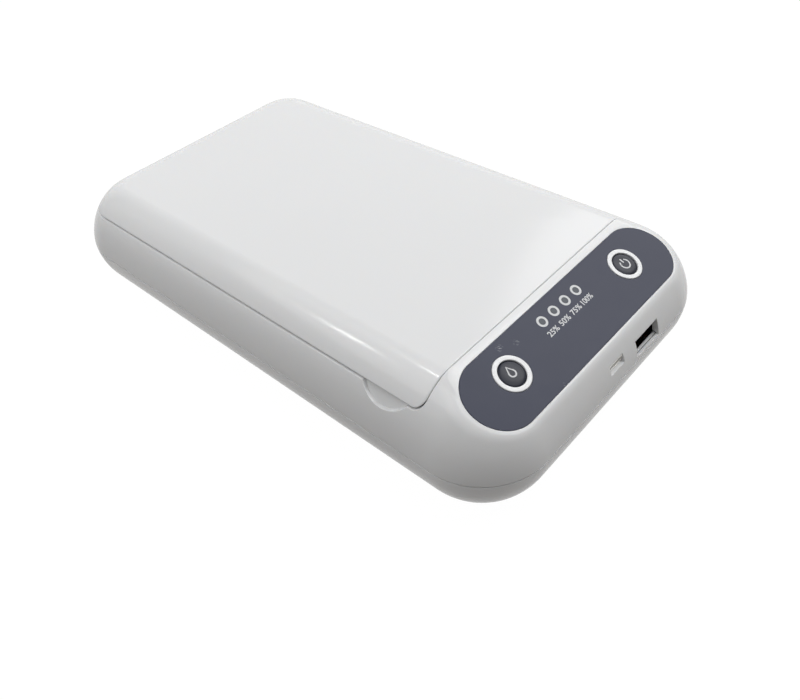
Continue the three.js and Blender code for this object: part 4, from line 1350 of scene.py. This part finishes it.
# %% Case screws
head_low, head_high, head_radius = 6.9 * MM, 8.7 * MM, 2.63 * MM
dome_flat, dome_bend = 1.9 * MM, 2.4 * MM
dome_bend_rise, dome_rise = 0.15 * MM, 0.5 * MM
shank_radius, shank_end, screw_tip = 1.4 * MM, 30 * MM, 30.7 * MM
cross_long, cross_wide, cross_deep = 2.6 * MM, 0.6 * MM, 0.9 * MM
corner_places = [f"{end}_{side}" for end in ("hinge", "panel") for side in ("near", "far")]
screw_profile = [(0, head_low), (dome_flat, head_low), (dome_bend, head_low + dome_bend_rise),
                 (head_radius, head_low + dome_rise), (head_radius, head_high),
                 (shank_radius, head_high), (shank_radius, shank_end), (0, screw_tip)]
screw = turned("screw", screw_profile, 48)
for length, width in ((cross_long, cross_wide), (cross_wide, cross_long)):
    cut(screw, block("slot", (-length / 2, -width / 2, 0),
                     (length / 2, width / 2, head_low + cross_deep)))
case_screws = repeat("case_screws", screw, [(*spot, 0) for spot in screw_spots], finishes["steel"])
fit(case_screws, "base", "steel", *[f"case_screw_{place}" for place in corner_places])

# %% Feet
foot_radius, foot_top = 4.95 * MM, 1.6 * MM
foot_flat, foot_bend = 4.2 * MM, 4.7 * MM
foot_bend_rise, foot_rise = 0.12 * MM, 0.5 * MM
pad = turned("pad", [(0, 0), (foot_flat, 0), (foot_bend, foot_bend_rise), (foot_radius, foot_rise),
                     (foot_radius, foot_top), (0, foot_top)])
rubber_feet = repeat("rubber_feet", pad, [(*spot, 0) for spot in foot_spots], finishes["foot"])
fit(rubber_feet, "base", "foot", *[f"foot_{place}" for place in corner_places])

# %% [markdown]
# ## Inside the lid and the chamber
# With the lid open, the lamps are the first thing to see. Each is a thin tube of quartz glass with
# a coil at either end, held in a ceramic block. The sheets that the rays bounce off, the boards and
# the magnets are plain pieces already, so only what has a finer shape is made again here.

# %% Helpers for the pieces inside
def softened(piece, width):
    """Rounds the sharp edges of a piece."""
    modifier = piece.modifiers.new("Soft edges", "BEVEL")
    modifier.width = width
    modifier.segments = 3
    modifier.limit_method = "ANGLE"
    modifier.angle_limit = math.radians(40)
    bake_modifiers(piece)
    return piece


def middle_of(node):
    """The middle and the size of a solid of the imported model."""
    low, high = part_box(node)
    return (low + high) / 2, high - low


def along_x(piece):
    """Lays an upright piece along X."""
    return shift(piece, Matrix.Rotation(quarter, 4, "Y"))


def capsule(radius, length):
    """The outline of a rod with round ends, from its middle to either side."""
    turns = np.linspace(0, quarter, 9)
    ball = [(radius * math.sin(t), length / 2 - radius + radius * math.cos(t)) for t in turns]
    return [(r, -z) for r, z in ball] + ball[::-1]


# %% Lamps with their electrodes
lamp_places = [middle_of(f"uv_lamp_{side}") for side in ("near", "far")]
lamp_size = lamp_places[0][1]
lamp_radius, glass_wall = lamp_size.z / 2, 0.4 * MM
tube = turned("tube", capsule(lamp_radius, lamp_size.x), 40)
cut(tube, turned("hollow", capsule(lamp_radius - glass_wall, lamp_size.x - 2 * glass_wall), 40))
lamp_spots = [place for place, size in lamp_places]
uv_lamps = repeat("uv_lamps", along_x(tube), lamp_spots, finishes["lamp"])
fit(uv_lamps, "lid", "lamp", "uv_lamp_near", "uv_lamp_far")
coil_radius, coil_length, coil_inset = 0.5 * MM, 5 * MM, 10 * MM
coil_reach = lamp_size.x / 2 - coil_inset
coil = along_x(turned("coil", capsule(coil_radius, coil_length), 16))
coil_spots = [place + Vector((end * coil_reach, 0, 0)) for place in lamp_spots for end in (-1, 1)]
fit(repeat("lamp_electrodes", coil, coil_spots, finishes["steel"]), "lid", "lamp", finish="steel")

# %% [markdown]
# A ceramic block holds each end of a lamp. It is a block with rounded edges and a bore that is
# open towards the lamp's middle. The two ends of the lid need mirrored blocks, so each end has its
# own template, repeated for both lamps.

# %% Holders of the lamps
holder_corner, holder_soft, bore_length = 0.9 * MM, 0.3 * MM, 5.3 * MM
for end, sign in (("hinge_end", -1), ("panel_end", 1)):
    names = [f"lamp_holder_{side}_{end}" for side in ("near", "far")]
    places = [middle_of(name) for name in names]
    size = places[0][1]
    half_x, half_y, half_z = size / 2
    bore_z = lamp_spots[0].z - places[0][0].z
    holder = prism("holder", half_x, half_y, holder_corner, -half_z, half_z, steps=6)
    softened(holder, holder_soft)
    socket = along_x(post("socket", lamp_radius + small, 0, size.x, steps=40))
    reach = -sign * (half_x - bore_length)
    shift(socket, Matrix.Translation((reach if sign < 0 else reach - size.x, 0, bore_z)))
    cut(holder, socket)
    holders = repeat(f"lamp_holders_{end}", holder, [place for place, _ in places], finishes["holder"])
    fit(holders, "lid", "holder", *names)

# %% [markdown]
# The scent gets out of its cup through seven holes in a round cover, one in the middle and six
# round it. The tree that repeats a template also makes the posts that cut them.

# %% The pierced cover of the scent pad
cover_place, cover_size = middle_of("scent_grille")
cover_radius, cover_half, cover_soft = cover_size.x / 2, cover_size.z / 2, 0.2 * MM
hole_pitch, hole_radius, hole_half = 3.6 * MM, 1.1 * MM, 2 * MM
cover_profile = [(0, -cover_half), (cover_radius, -cover_half), (cover_radius, cover_half),
                 (0, cover_half)]
cover = softened(turned("scent_cover", cover_profile, 72), cover_soft)
hole_spots = [(0, 0, 0)] + circle(hole_pitch, 0, 6)
holes = repeat("holes", post("hole", hole_radius, -hole_half, hole_half, steps=32), hole_spots, white)
cut(cover, holes)
carry_normals(shift(cover, Matrix.Translation(cover_place)))
fit(cover, "base", "liner", "scent_grille")

# %% [markdown]
# Two clear rails on the floor keep the load off the mirror, so that rays reach it from below too.
# Each is a bar with round ends and softened edges.

# %% Rest rails
rail_soft, rail_flat = 0.5 * MM, 0.01 * MM
rail_places = [middle_of(f"rest_rail_{side}") for side in ("near", "far")]
rail_size = rail_places[0][1]
rail_x, rail_y, rail_z = rail_size / 2
rail = softened(prism("rail", rail_x, rail_y, rail_y - rail_flat, -rail_z, rail_z, steps=10), rail_soft)
rest_rails = repeat("rest_rails", rail, [place for place, _ in rail_places], finishes["rail"])
fit(rest_rails, "base", "rail", "rest_rail_near", "rest_rail_far")

# %% [markdown]
# A socket is only read as a socket when its contacts show. They are gilded strips on the tongue,
# a few in a row, let into it by a third of their thickness.

# %% Contacts of the two sockets
contact_out, contact_in = 0.06 * MM, 0.03 * MM
contact_rows = (("usb_a_contacts", "usb_a_tongue", 4, 1 * MM, 8 * MM),
                ("micro_contacts", "micro_usb_tongue", 5, 0.4 * MM, 4 * MM))
for name, node, count, width, depth in contact_rows:
    tongue, size = middle_of(node)
    pitch = size.y / (count + 0.5)
    contact = block("contact", (-depth / 2, -width / 2, -contact_out),
                    (depth / 2, width / 2, contact_in))
    front = size.x / 2 - depth / 2 - small
    across = [pitch * (step - (count - 1) / 2) for step in range(count)]
    spots = [tongue + Vector((front, y, -size.z / 2)) for y in across]
    fit(repeat(name, contact, spots, finishes["gold"]), "base", "steel", finish="gold")

# %% [markdown]
# Boards, magnets, switches, mirrors and sockets are plain enough in the imported model, so they stay as
# they are. Each gets the finish of its kind, apart from the parts of the sockets. The USB socket's shell
# and tongue are painted dark brown, which is painted shade for the shadow deep inside its mouth, and the
# micro socket's shell is bright nickel.

# %% Finishes of the solids that stay
stand_in = {name for piece in bpy.data.objects for name in piece.get("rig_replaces", [])}
# the USB socket's shell and tongue get painted shade, a dark brown for the shadow in its mouth
socket_looks = {"usb_a_shell": "dull_steel", "usb_a_tongue": "tongue_brown",
                "micro_usb_shell": "bright_nickel"}
kept = [part for part in frame["record"]["subparts"] if part["node"] not in stand_in]
for part in kept:
    solid = frame["nodes"][part["node"]]
    solid.data.materials.clear()
    look = socket_looks.get(part["node"], part["material_slot"])
    solid.data.materials.append(finishes[look])
print("solids that stay:", len(kept))

# %% [markdown]
# ## Floor, light and camera
# The object stands on a pale floor in a white room. The light comes from soft round panels behind
# it and to its left, so the top is bright, the long side falls off towards the floor and the near
# corner is the darkest. To the camera floor and room look nearly white, with a faint shadow. In
# reflections the floor is a little dimmer, so that the casing's rim stays even.

# %% The floor
floor_seen, floor_in_gloss = 0.9, 0.68
floor_glow, floor_roughness = 1.1, 0.9
floor_colour = (0.285, 0.27, 0.255)


def seen_rays(tree, in_gloss=1.0):
    """One for rays from the camera or through glass, a share for gloss, and none for the rest."""
    rays = add_node(tree, "ShaderNodeLightPath")
    camera_ray, gloss_ray, glass_ray = (
        out(tree, rays, f"Is {kind} Ray") for kind in ("Camera", "Glossy", "Transmission"))
    return camera_ray.most(gloss_ray * in_gloss).most(glass_ray)


def make_floor():
    material = bpy.data.materials.new("pale_floor")
    material.use_nodes = True
    tree = material.node_tree
    shader = tree.nodes["Principled BSDF"]
    shader.inputs["Base Color"].default_value = (*floor_colour, 1)
    shader.inputs["Roughness"].default_value = floor_roughness
    glow = add_node(tree, "ShaderNodeEmission", values={"Color": (1, 1, 1, 1), "Strength": floor_glow})
    blend = add_node(tree, "ShaderNodeMixShader", values={
        0: seen_rays(tree, floor_in_gloss) * floor_seen, 1: out(tree, shader), 2: out(tree, glow)})
    feed(tree.nodes["Material Output"].inputs[0], out(tree, blend))
    return material


floor_half = 3.0
floor_corners = [(x * floor_half, y * floor_half, 0) for x, y in ((-1, -1), (1, -1), (1, 1), (-1, 1))]
floor = new_piece("floor", floor_corners, [(0, 1, 2, 3)])
floor.data.materials.append(make_floor())
floor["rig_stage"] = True
print("floor in metres:", 2 * floor_half)

# %% The room
room_light, room_white = 0.2, 1.0
world = bpy.data.worlds.new("light_tent")
bpy.context.scene.world = world
world.use_nodes = True
tent = world.node_tree.nodes["Background"]
tent.inputs["Color"].default_value = (1, 1, 1, 1)
feed(tent.inputs["Strength"], room_light + seen_rays(world.node_tree) * (room_white - room_light))
print("room: light", room_light, "and white", room_white)

# %% [markdown]
# All lamps stand one metre from the middle of the box and point at it. The large ones shade the
# casing, and the left one does so without showing in the gloss. The two small ones, a tube and a
# bulb, are the highlights on the lid's near shoulder, and stand where the mirrored line of sight of
# those spots meets them.

# %% The lamps of the studio
middle = Vector((0, 0, 30 * MM))


def heading(turn, tilt):
    """The direction from the object to a viewer or a lamp; a turn of zero is in front of it."""
    turn, tilt = math.radians(turn), math.radians(tilt)
    return Vector((math.sin(turn) * math.cos(tilt), -math.cos(turn) * math.cos(tilt), math.sin(tilt)))


# Each lamp: its turn and tilt in degrees, its width and height in metres, and its power in watts
studio = {
    "behind_right": (135, 60, 0.9, 0.9, 3.5), "behind": (176, 44, 0.9, 0.9, 3.6),
    "left": (270, 30, 0.8, 0.8, 1.4), "front_left": (315, 30, 0.8, 0.8, 0.8),
    "left_above": (315, 60, 0.9, 0.9, 2.1), "tube": (306.5, 49, 0.05, 0.1, 0.2),
    "bulb": (287.7, 65.9, 0.02, 0.02, 0.15),
}
for name, (turn, tilt, width, tall, power) in studio.items():
    panel_light = bpy.data.lights.new(name, "AREA")
    panel_light.shape = "ELLIPSE"
    panel_light.size, panel_light.size_y = width, tall
    panel_light.energy = power
    lamp_stand = add_object(name, panel_light)
    lamp_stand.visible_glossy = name != "left"
    lamp_stand.location = middle + heading(turn, tilt)
    lamp_stand.rotation_euler = heading(turn, tilt).to_track_quat("Z", "Y").to_euler()
print("lamps:", len(studio), "with", round(sum(lamp[-1] for lamp in studio.values()), 2), "watts")

# %% [markdown]
# The camera stands close to the near corner at the panel end and looks down at it. It is given as
# a photographer would: by its turn, tilt and roll, its distance from a point it aims at, and its
# lens.

# %% The camera
scene = bpy.context.scene
camera_turn, camera_tilt, camera_roll, camera_distance = 45.99, 44.09, -6.08, 0.25456
lens_length, sensor_width, nearest_seen = 33.31, 36, 0.01
aim = Vector((0.04182, -0.02701, 0.02))
back = heading(camera_turn, camera_tilt)
level = heading(camera_turn + 90, 0)
roll = Matrix.Rotation(math.radians(camera_roll), 3, back)
right, up = roll @ level, roll @ back.cross(level)
camera = add_object("camera", bpy.data.cameras.new("camera"))
camera.data.lens = lens_length
camera.data.sensor_width = sensor_width
camera.data.clip_start = nearest_seen
axes = Matrix((right, up, back)).transposed().to_4x4()
camera.matrix_world = Matrix.Translation(aim + camera_distance * back) @ axes
scene.camera = camera
scene.view_settings.view_transform = "Standard"
print("camera in metres:", [round(c, 4) for c in camera.matrix_world.translation])

# %% [markdown]
# ## Boxes and the end
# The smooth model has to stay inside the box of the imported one, so both boxes are written out.

# %% Write both boxes
lowest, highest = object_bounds()
print("visual box in mm:", [round(1000 * size, 2) for size in highest - lowest])
